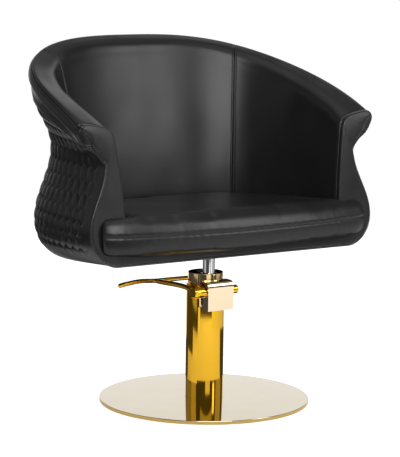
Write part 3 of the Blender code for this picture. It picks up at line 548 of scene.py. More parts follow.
# A lighter copy of the gold for the pump's cap and head: painted highlight.
GOLD_PAINTED_HIGHLIGHT = metal_material("gold_painted_highlight", (0.84, 0.62, 0.30), (0.92, 0.70, 0.38), (0.05, 0.09), 0.02)
# A darker, rougher copy of the gold for the disc's rolled edge: the darker colour is painted shade.
GOLD_PAINTED_EDGE_SHADE = metal_material("gold_painted_edge_shade", (0.52, 0.34, 0.10), (0.62, 0.42, 0.15), (0.20, 0.28), 0.05)
# A pale copy of the gold: painted reflection of the white surroundings on the disc's top.
GOLD_PAINTED_PALE_REFLECTION = metal_material("pale_gold", (0.70, 0.62, 0.47), (0.76, 0.68, 0.53), (0.03, 0.06), 0.01)
# A pale copy of the gold for the lever bracket: painted reflection.
GOLD_PAINTED_FACE_REFLECTION = metal_material("bracket_gold_painted_reflection", (0.84, 0.68, 0.46), (0.90, 0.74, 0.52), (0.07, 0.12), 0.02)
CHROME = metal_material("bright_chrome", (0.80, 0.80, 0.82), (0.88, 0.88, 0.90), (0.06, 0.11), 0.02)
STEEL = metal_material("zinc_steel", (0.38, 0.38, 0.39), (0.52, 0.52, 0.53), (0.28, 0.42), 0.2)
BRONZE = metal_material("oiled_bronze", (0.42, 0.27, 0.13), (0.55, 0.38, 0.20), (0.28, 0.40), 0.2)
RUBBER = plain_material("black_rubber", grey(0.012), grey(0.022), (0.70, 0.85), 500.0, 0.0002)
FOAM = plain_material("yellow_foam", (0.58, 0.53, 0.36), (0.72, 0.66, 0.46),
                      (0.85, 0.95), 700.0, 0.0006, True)
CLOTH = plain_material("black_lining", grey(0.010), grey(0.022), (0.85, 0.95), 900.0, 0.0004, True)
PLYWOOD = plywood_material()

# The pale_gold slot gets the pale copy of the gold, a painted reflection of the white surroundings.
SLOT_LOOKS = {"rubber": RUBBER, "steel": STEEL, "pale_gold": GOLD_PAINTED_PALE_REFLECTION, "gold": GOLD, "bronze": BRONZE,
              "chrome": CHROME, "black_leather": LEATHER, "foam": FOAM, "plywood": PLYWOOD,
              "black_cloth": CLOTH}


def dress_frame():
    """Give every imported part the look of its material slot."""
    for part in frame["record"]["subparts"]:
        obj = frame["nodes"][part["node"]]
        obj.data.materials.clear()
        # The lever bracket gets the pale copy of the gold in place of its slot's look: painted
        # reflection.
        look = GOLD_PAINTED_FACE_REFLECTION if part["node"] == "lever_bracket" else SLOT_LOOKS[part["material_slot"]]
        obj.data.materials.append(look)


def place(obj, body, look, slot, *nodes):
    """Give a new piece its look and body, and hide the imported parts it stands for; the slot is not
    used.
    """
    obj.data.materials.clear()
    obj.data.materials.append(look)
    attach(obj, body)
    if nodes:
        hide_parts(*nodes)
    return obj


# ---------------- base, column and rod

def arc(x, z, radius, start, end, count=6):
    """Rows of (radius, height) round a quarter turn, angles in degrees."""
    return [(x + radius * cos(radians(a)), z + radius * sin(radians(a)))
            for a in np.linspace(start, end, count)]


def make_disc():
    """Polished cover of the base, its edge rolled over; its top is a pale copy of the gold, a painted
    reflection of the white surroundings, and its edge a darker copy, painted shade.
    """
    edge = 0.0012
    hole = COLUMN_RADIUS + 0.0003
    profile = [(hole, DISC_TOP), *arc(DISC_RADIUS - edge, DISC_TOP - edge, edge, 90, 0, 8),
               (DISC_RADIUS, DISC_LOW.z), (DISC_RADIUS - 0.0014, DISC_LOW.z),
               (DISC_RADIUS - 0.0014, DISC_TOP - 0.0014), (hole, DISC_TOP - 0.0014)]
    disc = sharp(turned("disc_cover", profile, steps=256), 50)
    place(disc, "base", GOLD_PAINTED_PALE_REFLECTION, "pale_gold", "base_cover")
    disc.data.materials.append(GOLD_PAINTED_EDGE_SHADE)
    # Faces of the rolled edge, below this height, get the darker copy of the gold: painted shade.
    painted_shade_from = DISC_TOP - edge * 0.75
    for face in disc.data.polygons:
        if face.center.z < painted_shade_from:
            face.material_index = 1


def make_column():
    """Polished column with a fine rolled top edge and the window behind the housing."""
    inner, edge = COLUMN_RADIUS - COLUMN_WALL, 0.0007
    low = TUBE_LOW.z
    profile = [*arc(COLUMN_RADIUS - edge, COLUMN_TOP - edge, edge, 0, 90, 4),
               *arc(inner + edge, COLUMN_TOP - edge, edge, 90, 180, 4),
               (inner, low), (COLUMN_RADIUS, low)]
    column = turned("pump_column", profile)
    window = bpy.data.objects.new("window", bpy.data.meshes.new("window"))
    shape = bmesh.new()
    bmesh.ops.create_cube(shape, size=1.0)
    bmesh.ops.scale(shape, vec=WINDOW_SIZE, verts=shape.verts)
    bmesh.ops.translate(shape, vec=WINDOW_AT, verts=shape.verts)
    shape.to_mesh(window.data)
    shape.free()
    bpy.context.scene.collection.objects.link(window)
    opening = column.modifiers.new("window", "BOOLEAN")
    opening.operation, opening.object, opening.solver = "DIFFERENCE", window, "EXACT"
    apply_modifiers(column)
    bpy.data.objects.remove(window)
    place(sharp(column), "base", GOLD, "gold", "column_tube")


def apply_modifiers(obj):
    """Keep what the modifiers make of a mesh as the mesh itself."""
    evaluated = obj.evaluated_get(bpy.context.evaluated_depsgraph_get())
    mesh = bpy.data.meshes.new_from_object(evaluated)
    obj.modifiers.clear()
    obj.data = mesh
    mesh.polygons.foreach_set("use_smooth", [True] * len(mesh.polygons))


def make_cap():
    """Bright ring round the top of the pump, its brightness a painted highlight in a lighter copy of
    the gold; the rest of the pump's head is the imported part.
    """
    edge, bore, low = 0.0012, 0.0190, COLUMN_TOP - 0.0300
    profile = [(HEAD_RADIUS, low), *arc(HEAD_RADIUS - edge, HEAD_TOP - edge, edge, 0, 90, 5),
               *arc(bore + edge / 2, HEAD_TOP - edge / 2, edge / 2, 90, 180, 4), (bore, low)]
    cap = sharp(turned("pump_cap", profile))
    place(cap, "base", GOLD_PAINTED_HIGHLIGHT, "gold")
    # The pump's head also gets the lighter copy of the gold: painted highlight.
    frame["nodes"]["pump_head"].data.materials[0] = GOLD_PAINTED_HIGHLIGHT


def make_rod():
    """Chromed lifting rod."""
    edge = 0.0010
    profile = [(0.0, ROD_LOW.z), (ROD_RADIUS, ROD_LOW.z),
               *arc(ROD_RADIUS - edge, ROD_HIGH.z - edge, edge, 0, 90, 4), (0.0, ROD_HIGH.z)]
    rod = sharp(turned("lifting_rod", profile, 0.0, ROD_Y, 96))
    place(rod, "seat", CHROME, "chrome", "piston_rod")


def cross_turned(name, profile, steps=64):
    """A body turned about the lever shaft's axis, from rows of (radius, x)."""
    obj = turned(name, profile, steps=steps)
    turn = Matrix(((0, 0, 1, 0), (0, 1, 0, SHAFT_Y), (-1, 0, 0, SHAFT_Z), (0, 0, 0, 1)))
    obj.data.transform(turn)
    fix_normals(obj)
    return sharp(obj)


def make_lever():
    """Lever hub, bent arm, foot bar and the knob on the shaft's other end."""
    hub_low, hub_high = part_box("lever_hub")
    radius, edge = (hub_high.z - hub_low.z) / 2, 0.0012
    hub = [(0.0, hub_low.x), *arc_x(hub_low.x + edge, radius - edge, edge, True),
           *arc_x(hub_high.x - edge, radius - edge, edge, False), (0.0063, hub_high.x),
           (0.0063, hub_low.x + 0.0031), (0.0, hub_low.x + 0.0031)]
    place(cross_turned("lever_hub_cover", hub), "pedal", GOLD, "gold", "lever_hub")
    knob_low, knob_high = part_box("shaft_knob")
    radius = (knob_high.z - knob_low.z) / 2
    knob = [(0.0063, knob_low.x), (radius - 0.0006, knob_low.x), (radius, knob_low.x + 0.0006)]
    for ridge in np.linspace(knob_low.x + 0.0045, knob_high.x - 0.0050, 4):
        knob += [(radius, ridge - 0.0010), (radius - 0.0007, ridge), (radius, ridge + 0.0010)]
    knob += [*arc_x(knob_high.x - 0.0020, radius - 0.0020, 0.0020, False), (0.0, knob_high.x),
             (0.0, knob_high.x - 0.0022), (0.0063, knob_high.x - 0.0022)]
    place(cross_turned("shaft_knob_cap", knob), "pedal", GOLD, "gold", "shaft_knob")
    arm_low, arm_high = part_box("lever_arm")
    bar_low, bar_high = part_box("foot_bar")
    arm_x, bar_y = (arm_low.x + arm_high.x) / 2, (bar_low.y + bar_high.y) / 2
    path = [(arm_x, arm_low.y, SHAFT_Z + 0.0015), (arm_x, -0.0220, SHAFT_Z + 0.0050),
            (arm_x, 0.0050, SHAFT_Z + 0.0068), (arm_x, 0.0450, SHAFT_Z + 0.0055),
            (arm_x, 0.0850, SHAFT_Z + 0.0030), (arm_x, arm_high.y + 0.0030, SHAFT_Z + 0.0020)]
    arm = tube("lever_arm_rod", catmull(path, 60), (arm_high.x - arm_low.x) / 2, 24)
    place(sharp(arm), "pedal", GOLD, "gold", "lever_arm")
    height = SHAFT_Z + 0.0020
    path = [(bar_low.x + 0.0120, bar_y, height - 0.0040), (-0.1300, bar_y, height - 0.0006),
            (-0.0950, bar_y, height + 0.0022), (-0.0550, bar_y, height),
            (0.0, bar_y, height - 0.0004), (bar_high.x, bar_y, height - 0.0010)]
    bar = tube("foot_bar_rod", catmull(path, 120), (bar_high.y - bar_low.y) / 2, 24, True)
    place(bar, "pedal", GOLD, "gold", "foot_bar")


def make_spring():
    """Return spring round the plunger."""
    low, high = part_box("plunger_spring")
    x, y, wire = (low.x + high.x) / 2, (low.y + high.y) / 2, SPRING_WIRE / 2
    radius = (high.x - low.x) / 2 - wire
    turn = np.linspace(0, 2 * pi * SPRING_TURNS, 24 * SPRING_TURNS + 1)
    path = np.stack([x + radius * np.cos(turn), y + radius * np.sin(turn),
                     np.linspace(low.z + wire, high.z - wire, len(turn))], 1)
    spring = tube("plunger_return_spring", path, wire, 8)
    place(spring, "base", STEEL, "steel", "plunger_spring")
    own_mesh(spring)


def arc_x(x, radius, edge, rising):
    """Rounded end of a turned body: rows of (radius, x)."""
    turns = np.linspace(0, pi / 2, 5)
    rows = [(radius + edge * sin(a), x - edge * cos(a)) for a in turns]
    return rows if rising else [(r, 2 * x - at) for r, at in reversed(rows)]


# ---------------- leather covers

PLACES = np.linspace(0.0, 1.0, 2001)
ARC = lengths(np.array([[plan(p)[0] for p in PLACES]]), 1)[0]
CENTRE = np.array([0.0, 0.10, 0.50])
PANELS = (("left", 0.0, SIDE_SEAM), ("back", SIDE_SEAM, 1 - SIDE_SEAM), ("right", 1 - SIDE_SEAM, 1.0))


def graded(length, count, fine=0.0009, margin=0.0100):
    """Positions from 0 to a length: close together near both ends, count steps between."""
    near = np.arange(0.0, margin - fine / 2, fine)
    middle = np.linspace(margin, length - margin, count + 1)
    return np.concatenate([near, middle, length - near[::-1]])


def path_length(path):
    """Length of a path."""
    return np.linalg.norm(np.diff(path, axis=0), axis=1).sum()


def sideways(path):
    """Unit vectors to the left of a flat path's direction."""
    tangent = np.gradient(path, axis=0)
    tangent /= np.maximum(np.linalg.norm(tangent, axis=1, keepdims=True), 1e-9)
    return np.stack([-tangent[:, 1], tangent[:, 0]], 1)


def seam_sink(distance):
    """How far a cover lies under its plain surface near a sewn edge.

    The edge turns in, a padded ridge stands beside it, and a line of stitching follows.
    """
    ridge = RIDGE_HEIGHT * np.exp(-((distance - RIDGE_AT) / 0.0016) ** 2)
    stitched = STITCH_DEPTH * np.exp(-((distance - STITCH_AT) / 0.0011) ** 2)
    return edge_roll(distance) - ridge + stitched


def edge_distances(grid):
    """Distance of each point of a grid from its first row, last row, first and last column."""
    along, down = lengths(grid, 0), lengths(grid, 1)
    return along, along[-1:] - along, down, down[:, -1:] - down


def closed_sheet(name, front, back):
    """A closed body between two grids of points that lie one behind the other."""
    rows, columns = front.shape[:2]
    points = np.concatenate([front.reshape(-1, 3), back.reshape(-1, 3)])
    total = rows * columns
    index = np.arange(total).reshape(rows, columns)
    quad = np.stack([index[:-1, :-1], index[1:, :-1], index[1:, 1:], index[:-1, 1:]], 2)
    quad = quad.reshape(-1, 4)
    rim = np.concatenate([index[0, :], index[1:, -1], index[-1, -2::-1], index[-2:0:-1, 0]])
    after = np.roll(rim, -1)
    side = np.stack([rim, after, after + total, rim + total], 1)
    obj = mesh_object(name, points, np.concatenate([quad, quad[:, ::-1] + total, side]))
    fix_normals(obj)
    return obj


def cover(name, grid, towards, sink, look, nodes=()):
    """A padded cover: the grid of points sunk by a depth, with its back closed behind it.

    The front looks towards a direction. Returns the front as it lies and its normals.
    """
    normal = grid_normals(grid)
    middle = (grid.shape[0] // 2, grid.shape[1] // 2)
    normal = normal * np.sign(normal[middle] @ towards(grid[middle]))
    front = grid - normal * sink[:, :, None]
    obj = closed_sheet(name, front, front - normal * COVER_THICKNESS)
    place(obj, "seat", look, "black_leather", *nodes)
    return front, normal


def inwards(point):
    """From a point of the wall towards the sitter."""
    return CENTRE - point


def outwards(point):
    """From a point of the wall away from the sitter."""
    return point - CENTRE


def stitches(name, lines):
    """Threads lying along lines of (points, normals): short rounded stitches with gaps."""
    shares = np.array([0.0, 0.18, 0.5, 0.82, 1.0])
    widths = np.array([0.35, 1.0, 1.1, 1.0, 0.35])
    angles = np.linspace(0, 2 * pi, THREAD_SIDES, endpoint=False)
    ring = np.arange(THREAD_SIDES)
    points, faces, base = [], [], 0
    for path, normals in lines:
        length = path_length(path)
        for start in np.arange(STITCH_PITCH * 0.2, length - STITCH_LENGTH, STITCH_PITCH):
            centres = walk(path, start + shares * STITCH_LENGTH)
            up = normals[int(start / length * len(path))]
            across = np.cross(centres[-1] - centres[0], up)
            across /= max(np.linalg.norm(across), 1e-9)
            centres = centres + up * (0.00010 + 0.00025 * np.sin(shares * pi))[:, None]
            around = across * np.cos(angles)[:, None] + up * np.sin(angles)[:, None]
            points.append(centres[:, None] + around * (THREAD_RADIUS * widths)[:, None, None])
            for row in range(len(shares) - 1):
                low = base + row * THREAD_SIDES
                for k in ring:
                    turn = (k + 1) % THREAD_SIDES
                    faces.append((low + k, low + turn, low + turn + THREAD_SIDES,
                                  low + k + THREAD_SIDES))
            faces.append(tuple(base + k for k in ring[::-1]))
            base += len(shares) * THREAD_SIDES
            faces.append(tuple(base - THREAD_SIDES + k for k in ring))
    obj = mesh_object(name, np.concatenate(points).reshape(-1, 3), faces)
    fix_normals(obj)
    place(obj, "seat", THREAD_PAINTED_HIGHLIGHT, "black_leather")


def honeycomb(across, down):
    """Distance from the middle of a stretched hexagon, 0, to its stitched edge, 1."""
    x, y = across / CELL_WIDTH, down / CELL_PITCH
    best = np.full(x.shape, 9.0)
    nearest = best.copy()
    for row in (np.floor(y), np.floor(y) + 1):
        shift = np.where(row % 2 == 0, 0.0, 0.5)
        dx = np.abs(x - np.round(x - shift) - shift)
        dy = np.abs(y - row) * sqrt(3) / 2
        edge = 2 * np.maximum(dx, dx / 2 + dy * sqrt(3) / 2)
        best = np.where(np.hypot(dx, dy) < nearest, edge, best)
        nearest = np.minimum(np.hypot(dx, dy), nearest)
    return np.clip(best, 0.0, 1.0)


def inner_covers():
    """Rim and inside of the tub: three sheets sewn across the rim and down the wall."""
    lines = []
    for side, low, high in PANELS:
        start, end = np.interp([low, high], PLACES, ARC)
        along = start + graded(end - start, 100)
        rows = []
        for here in np.interp(along, ARC, PLACES):
            profile = inner_profile(here, 400)
            rows.append(wall_points(here, walk(profile, graded(path_length(profile), 90))))
        grid = np.array(rows)
        first, last, top, _ = edge_distances(grid)
        sink = seam_sink(first) + seam_sink(last) + seam_sink(top)
        sink = sink - 0.0008 * waves(grid, 0.11, 3) * smooth(top / 0.05)
        front, normal = cover(f"inner_cover_{side}", grid, inwards, sink, LEATHER,
                              (f"inner_panel_{side}", f"rim_{side}"))
        k = STITCH_STEP
        lines += [(front[k:-k, k], normal[k:-k, k]), (front[k, k:-8], normal[k, k:-8]),
                  (front[-1 - k, k:-8], normal[-1 - k, k:-8])]
    stitches("inner_cover_threads", lines)


def inset_seam(profile, share):
    """Rows of (offset, height) moved in towards the facings' outer seam."""
    return profile + np.stack([corner_inset(profile[:, 1]) * share, 0 * profile[:, 1]], 1)


def outer_points(here, turn, profile):
    """Points of the outer cover at one place; a turn above 0 lies round the arm's corner."""
    plain = wall_points(here, profile)
    if turn == 0.0:
        return plain
    points = wall_points(here, inset_seam(profile, 1 - cos(turn)))
    points[:, 1] = plain[:, 1] - (FACING_THICKNESS + 0.0010) * sin(turn)
    return points


def outer_covers():
    """Smooth band under the rim and honeycomb quilting below it, in three sheets each."""
    lines = []
    turns = np.linspace(pi / 2, 0, WRAP_STEPS, endpoint=False)
    for side, low, high in PANELS:
        start, end = np.interp([low, high], PLACES, ARC)
        spots = [(here, 0.0) for here in np.interp(start + graded(end - start, 150), ARC, PLACES)]
        if low == 0.0:
            spots = [(0.0, turn) for turn in turns] + spots
        if high == 1.0:
            spots = spots + [(1.0, turn) for turn in turns[::-1]]
        band, quilt = [], []
        for here, turn in spots:
            profile = outer_profile(here, 500)
            length = path_length(profile)
            band.append(outer_points(here, turn, walk(profile, graded(BAND_HEIGHT, 14))))
            below = BAND_HEIGHT + graded(length - BAND_HEIGHT, 150)
            quilt.append(outer_points(here, turn, walk(profile, below)))
        band, quilt = np.array(band), np.array(quilt)
        k = STITCH_STEP
        sink = sum(seam_sink(distance) for distance in edge_distances(band))
        front, normal = cover(f"outer_band_{side}", band, outwards, sink, LEATHER)
        lines += [(front[k:-k, k], normal[k:-k, k]), (front[k:-k, -1 - k], normal[k:-k, -1 - k])]
        first, last, top, bottom = edge_distances(quilt)
        sink = seam_sink(first) + seam_sink(last) + seam_sink(top) + edge_roll(bottom)
        across = np.array([np.interp(here, PLACES, ARC) for here, turn in spots])[:, None]
        level = smooth((np.minimum(across, ARC[-1] - across) - 0.006) / 0.030)
        level = level * smooth((top - 0.006) / 0.012) * smooth((bottom - 0.064) / 0.022)
        level = level * smooth((np.minimum(first, last) - 0.005) / 0.008)
        heights = quilt[:, :, 2]
        row_start = np.array([np.interp(-ROW_LEVEL, -z, d) for z, d in zip(heights, top)])[:, None]
        cells = honeycomb(across - ARC[-1] / 2 + 0 * top, top - row_start)
        sink = sink + level * PUFF * (0.60 - (1 - cells ** 2.2) ** 0.75)
        front, normal = cover(f"quilted_cover_{side}", quilt, outwards, sink, QUILT_LEATHER_PAINTED_SHADE,
                              (f"outer_panel_{side}",))
        lines += [(front[k:-k, k], normal[k:-k, k]), (front[k, k:], normal[k, k:]),
                  (front[-1 - k, k:], normal[-1 - k, k:])]
    stitches("outer_cover_threads", lines)


def front_outlines():
    """Outer and inner edges of the front cover as rows of (x, z), mirrored in the middle."""
    seam = inset_seam(outer_profile(0.0, 900), 1.0)
    under = np.argmax(seam[:, 0] > BULGE_IN[0] + ROLL_UNDER * 0.95)
    edges = []
    for path in (seam[:under], inner_profile(0.0, 900)):
        path = evenly(path, 220) - [HALF_WIDTH, 0.0]
        across = path[-1] * np.stack([np.linspace(1, 0, 110), np.ones(110)], 1)
        half = np.concatenate([path, across[1:]])
        edges.append(np.concatenate([half, (half * [-1, 1])[-2::-1]]))
    return edges


def front_cover():
    """Padded cover over both arm fronts and the strip under the cushion, in one sheet."""
    outside, inside = front_outlines()
    roll, deep = 0.0040, FACING_THICKNESS + 0.0004
    inner_side = -sideways(inside)
    edge = inside + inner_side * roll
    rows = []
    width = np.linalg.norm(edge - outside, axis=1)
    shares = graded(1.0, 24, 0.014, 0.14)
    for share in shares:
        path = mix(outside, edge, share)
        swell = 0.0016 * np.sin(pi * share) * smooth((path[:, 1] - 0.450) / 0.04)
        sink = seam_sink(share * width) - swell
        rows.append(front_points(path, sink))
    for angle in np.linspace(0, pi / 2, 8)[1:]:
        path = edge - inner_side * roll * sin(angle)
        rows.append(front_points(path, roll * (1 - cos(angle))))
    for back in np.linspace(roll, deep, 6)[1:]:
        bead = 0.0006 * sin(pi * (back - roll) / (deep - roll))
        rows.append(front_points(inside - inner_side * bead, back))
    grid = np.array(rows).transpose(1, 0, 2)
    normal = grid_normals(grid)
    middle = (len(outside) // 4, 12)
    normal = normal * (-np.sign(normal[middle][1]))
    obj = closed_sheet("front_cover", grid, grid - normal * COVER_THICKNESS)
    place(obj, "seat", LEATHER, "black_leather", "arm_facing_left", "arm_facing_right",
                    "front_rail_cover")
    return outside, inside, grid, normal


def front_points(path, back):
    """Points of (x, z) on the facings' plane, moved back by a depth."""
    return np.stack([path[:, 0], front_at(path[:, 1]) + back, path[:, 1]], 1)


def front_piping():
    """Piped edge along the facings' outer seam and under the cushion, and their stitching."""
    outside, inside, grid, normal = front_cover()
    lines = []
    for at in (4, -9):
        path, up = grid[:, at], normal[:, at]
        lines.append((path[6:-6], up[6:-6]))
    stitches("front_cover_threads", lines)
    start = np.argmax(outside[:, 1] < WAIST_Z[0] + 0.012)
    path = outside[start:len(outside) - start]
    points = front_points(path, 0.0006)
    obj = tube("front_piping", evenly(points, 420), PIPING_RADIUS, 10, True)
    place(obj, "seat", PIPING_PAINTED_HIGHLIGHT, "black_leather")
    for name, row in (("facing_edge_welt", -11), ("facing_back_welt", -2)):
        obj = tube(name, evenly(grid[:, row], 700), 0.0009, 8, True)
        place(obj, "seat", PIPING_PAINTED_HIGHLIGHT, "black_leather")


# ---------------- seat cushion

def cushion_block():
    """Plain solid of the cushion: body between the arms and roll in front of them."""
    slack = CUSHION_SLACK
    body = [wall_points(here, np.array([[SEAT_IN + slack, SEAT_Z]]))[0][:2]
            for here in np.linspace(0.03, 0.5, 24)]
    half_body = HALF_WIDTH - SEAT_IN - slack
    half, ear_back = CUSHION_HALF - slack, front_at(CUSHION_LEVEL) - 0.0016 - slack / 2
    front = [(x, cushion_front(x) + slack) for x in half * np.sin(np.linspace(-pi / 2, pi / 2, 41))]
    right = [(half, ear_back), (half_body, ear_back)]
    outline = (front + right + [(-x, y) for x, y in body[:-1]] + [tuple(p) for p in body[::-1]]
               + [(-x, y) for x, y in right[::-1]])
    count = len(outline)
    points = [(x, y, CUSHION_LOW + slack / 2) for x, y in outline]
    points += [(x, y, cushion_top(y) - slack / 2) for x, y in outline]
    faces = [range(count)[::-1], range(count, 2 * count)]
    faces += [(i, (i + 1) % count, (i + 1) % count + count, i + count) for i in range(count)]
    obj = mesh_object("seat_cushion_cover", points, faces)
    fix_normals(obj)
    return obj


def cushion_front(x):
    """Where the cushion's front stands across the chair: bowed, with rounded corners."""
    share = abs(x) / CUSHION_HALF
    return mix(CUSHION_FRONT_Y, EAR_FRONT_Y, share ** 2) + 0.020 * share ** 18


def round_front(points):
    """Roll the cushion's front and ends back above and below its seam."""
    x, y, z = points.T
    off = z - seam_height(x)
    rise = np.clip(off / (CUSHION_TOP[0] - CUSHION_MIDDLE), 0, 1)
    fall = np.clip(-off / (CUSHION_MIDDLE - CUSHION_LOW), 0, 1)
    above, below = 1 - np.sqrt(1 - 0.999 * rise ** 2), 1 - np.sqrt(1 - 0.98 * fall ** 4)
    front = np.clip(y - np.array([cushion_front(value) for value in x]), 0, 1)
    before = smooth((front_at(CUSHION_LEVEL) + 0.004 - y) / 0.010)
    end = np.clip(CUSHION_HALF - np.abs(x), 0, 1)
    new_y = y + (0.034 * above + 0.020 * below) * (1 - smooth(front / 0.085))
    new_x = x - np.sign(x) * (0.020 * above + 0.022 * below) * (1 - smooth(end / 0.055)) * before
    return np.stack([new_x, new_y, z], 1)


def cushion_top(y):
    """Height of the cushion's top at a depth."""
    share = smooth((y + 0.16) / 0.50)
    return mix(CUSHION_TOP[0], CUSHION_TOP[1], share)


def seam_height(x):
    """Height of the seam across the cushion's front."""
    return mix(*CUSHION_SEAM, (x / CUSHION_HALF) ** 2)


def seat_cushion():
    """Cushion filled by a cloth simulation, with the seam across its front roll."""
    obj = cushion_block()
    remesh = obj.modifiers.new("remesh", "REMESH")
    remesh.mode, remesh.voxel_size = "VOXEL", 0.0050
    round_off = obj.modifiers.new("round", "SMOOTH")
    round_off.factor, round_off.iterations = 0.5, 14
    apply_modifiers(obj)
    obj.data.vertices.foreach_set("co", round_front(vertex_array(obj)).ravel())
    fill_cushion(obj)
    settle = obj.modifiers.new("settle", "SMOOTH")
    settle.factor, settle.iterations = 0.5, 8
    finer = obj.modifiers.new("finer", "SUBSURF")
    finer.levels = finer.render_levels = 1
    apply_modifiers(obj)
    points = vertex_array(obj)
    normals = np.zeros(len(points) * 3)
    obj.data.vertices.foreach_get("normal", normals)
    normals = normals.reshape(-1, 3)
    before_arms = smooth((-points[:, 1] + front_at(CUSHION_LEVEL) - 0.004) / 0.01)
    facing = smooth((-normals[:, 1] - 0.25) / 0.4) * before_arms
    off = points[:, 2] - seam_height(points[:, 0])
    fold = SEAM_FOLD * np.exp(-(off / 0.0026) ** 2)
    fold = fold - SEAM_RIDGE * np.exp(-((off - 0.0080) / 0.0045) ** 2)
    gather = np.sin(points[:, 0] * 2 * pi / GATHER_PITCH + 2 * waves(points, 0.06, 8))
    pucker = GATHER_DEPTH * gather * np.exp(-(off / 0.012) ** 2)
    soft = CUSHION_UNEVEN * waves(points, 0.16, 5)
    points = points - normals * ((fold + pucker) * facing - soft)[:, None]
    obj.data.vertices.foreach_set("co", points.ravel())
    place(obj, "seat", LEATHER, "black_leather", "seat_cushion")
    tree = BVHTree.FromPolygons([tuple(p) for p in points],
                                [tuple(face.vertices) for face in obj.data.polygons])
    found, ups = [], []
    for x in np.linspace(-CUSHION_HALF + 0.012, CUSHION_HALF - 0.012, 300):
        spot = Vector((x, -0.40, seam_height(x) + CUSHION_STITCH_RISE))
        hit, up, _, _ = tree.ray_cast(spot, Vector((0.0, 1.0, 0.0)))
        if hit is not None and hit.y < front_at(CUSHION_LEVEL):
            found.append(hit)
            ups.append(up)
    stitches("cushion_threads", [(np.array(found), np.array(ups))])


def vertex_array(obj):
    """Positions of an object's vertices."""
    values = np.zeros(len(obj.data.vertices) * 3)
    obj.data.vertices.foreach_get("co", values)
    return values.reshape(-1, 3)


def fill_cushion(obj):
    """Swell the cushion like a filled cover, by a cloth simulation with inner pressure."""
    still = vertex_array(obj)
    cloth = obj.modifiers.new("cloth", "CLOTH")
    cloth.settings.use_pressure = True
    cloth.settings.uniform_pressure_force = 4.0
    cloth.settings.effector_weights.gravity = 0.0
    cloth.point_cache.frame_start, cloth.point_cache.frame_end = 1, SWELL_FRAMES
    for step in range(1, SWELL_FRAMES + 1):
        bpy.context.scene.frame_set(step)
    apply_modifiers(obj)
    bpy.context.scene.frame_set(1)
    moved = vertex_array(obj) - still
    far = np.maximum(np.linalg.norm(moved, axis=1, keepdims=True), 1e-9)
    limit = CUSHION_SWELL * (1 - np.exp(-far / CUSHION_SWELL))
    obj.data.vertices.foreach_set("co", (still + moved / far * limit).ravel())
    obj.data.update()


# ---------------- light, floor and camera

def softbox(name, azimuth, elevation, distance, width, height, radiance):
    """A soft panel of light round the chair; azimuth 0 is in front of the seat, + to +X."""
    light = bpy.data.lights.new(name, "AREA")
    light.shape, light.size, light.size_y = "RECTANGLE", width, height
    light.energy = radiance * pi * width * height
    obj = bpy.data.objects.new(name, light)
    turn, rise = radians(azimuth), radians(elevation)
    aim = Vector((0.0, 0.0, 0.45))
    away = Vector((sin(turn) * cos(rise), -cos(turn) * cos(rise), sin(rise)))
    obj.location = aim + away * distance
    obj.rotation_euler = away.to_track_quat("Z", "Y").to_euler()
    obj.visible_camera = False
    bpy.context.scene.collection.objects.link(obj)


def make_world():
    """White round the object for the camera, and a dim studio for light and reflections."""
    world = bpy.data.worlds.new("studio")
    bpy.context.scene.world = world
    world.use_nodes = True
    tree = world.node_tree
    tree.nodes.clear()
    white, dim = tree.nodes.new("ShaderNodeBackground"), tree.nodes.new("ShaderNodeBackground")
    white.inputs["Color"].default_value = (1, 1, 1, 1)
    dim.inputs["Color"].default_value = (0.07, 0.07, 0.07, 1)
    path, blend = tree.nodes.new("ShaderNodeLightPath"), tree.nodes.new("ShaderNodeMixShader")
    out = tree.nodes.new("ShaderNodeOutputWorld")
    tree.links.new(path.outputs["Is Camera Ray"], blend.inputs["Fac"])
    tree.links.new(dim.outputs["Background"], blend.inputs[1])
    tree.links.new(white.outputs["Background"], blend.inputs[2])
    tree.links.new(blend.outputs["Shader"], out.inputs["Surface"])


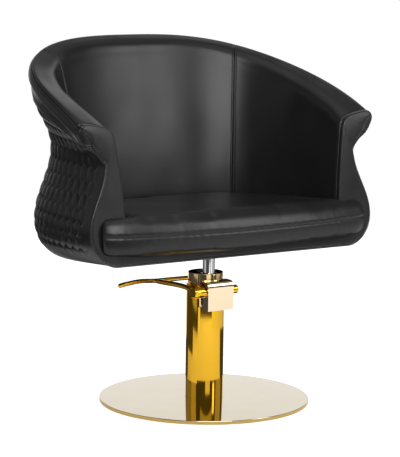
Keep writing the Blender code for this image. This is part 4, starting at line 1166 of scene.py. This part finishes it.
def make_floor():
    """Pale floor for the camera, and the sectors of it that are bright in reflections."""
    floor = sector("floor", 0.0, 180.0, 0.0, FLOOR_RADIUS, -0.0002, 0.93)
    floor.visible_glossy = floor.visible_diffuse = False
    for name, middle, half, low, high, glow in BRIGHT_FLOOR:
        piece = sector(name, middle, half, low, high, 0.0, glow)
        piece.visible_camera = piece.visible_diffuse = False


def sector(name, middle, half, low, high, height, glow):
    """A flat sector of floor between two radii, round a middle azimuth; it glows evenly."""
    angles = np.radians(np.linspace(middle - half, middle + half, 97))
    ring = np.stack([np.sin(angles), -np.cos(angles), 0 * angles], 1)
    points = np.concatenate([ring * max(low, 0.001), ring * high]) + [0.0, 0.0, height]
    index = np.arange(96)
    faces = np.stack([index, index + 97, index + 98, index + 1], 1)
    piece = mesh_object(name, points, faces)
    n = Nodes(name)
    shade = n.noise(2.0)
    piece.data.materials.append(n.done(
        Base_Color=n.colour(shade, (0.88, 0.88, 0.88), (0.90, 0.90, 0.90)), Roughness=0.9,
        Specular_IOR_Level=0.0, Emission_Color=(1, 1, 1, 1), Emission_Strength=glow))
    return piece


def make_camera():
    """Camera at the photograph's viewing angle."""
    data = bpy.data.cameras.new("camera")
    data.lens, data.sensor_width = CAMERA_LENS, 36.0
    data.clip_start, data.clip_end = 0.1, 50.0
    camera = bpy.data.objects.new("camera", data)
    turn = radians(CAMERA_AZIMUTH)
    camera.location = (CAMERA_DISTANCE * sin(turn), -CAMERA_DISTANCE * cos(turn), CAMERA_HEIGHT)
    heading, dip, roll = turn - CAMERA_YAW, CAMERA_DIP, CAMERA_ROLL
    forward = Vector((-sin(heading) * cos(dip), cos(heading) * cos(dip), -sin(dip)))
    level = Vector((cos(heading), sin(heading), 0.0))
    upright = level.cross(forward)
    right = level * cos(roll) + upright * sin(roll)
    up = upright * cos(roll) - level * sin(roll)
    camera.rotation_euler = Matrix((right, up, -forward)).transposed().to_euler()
    bpy.context.scene.collection.objects.link(camera)
    bpy.context.scene.camera = camera


dress_frame()
make_camera()
make_world()
make_floor()
for panel in PANEL_LIGHTS:
    softbox(*panel)
make_disc()
make_column()
make_cap()
make_rod()
make_lever()
make_spring()
inner_covers()
outer_covers()
front_piping()
seat_cushion()
bpy.context.scene.view_settings.view_transform = "Standard"
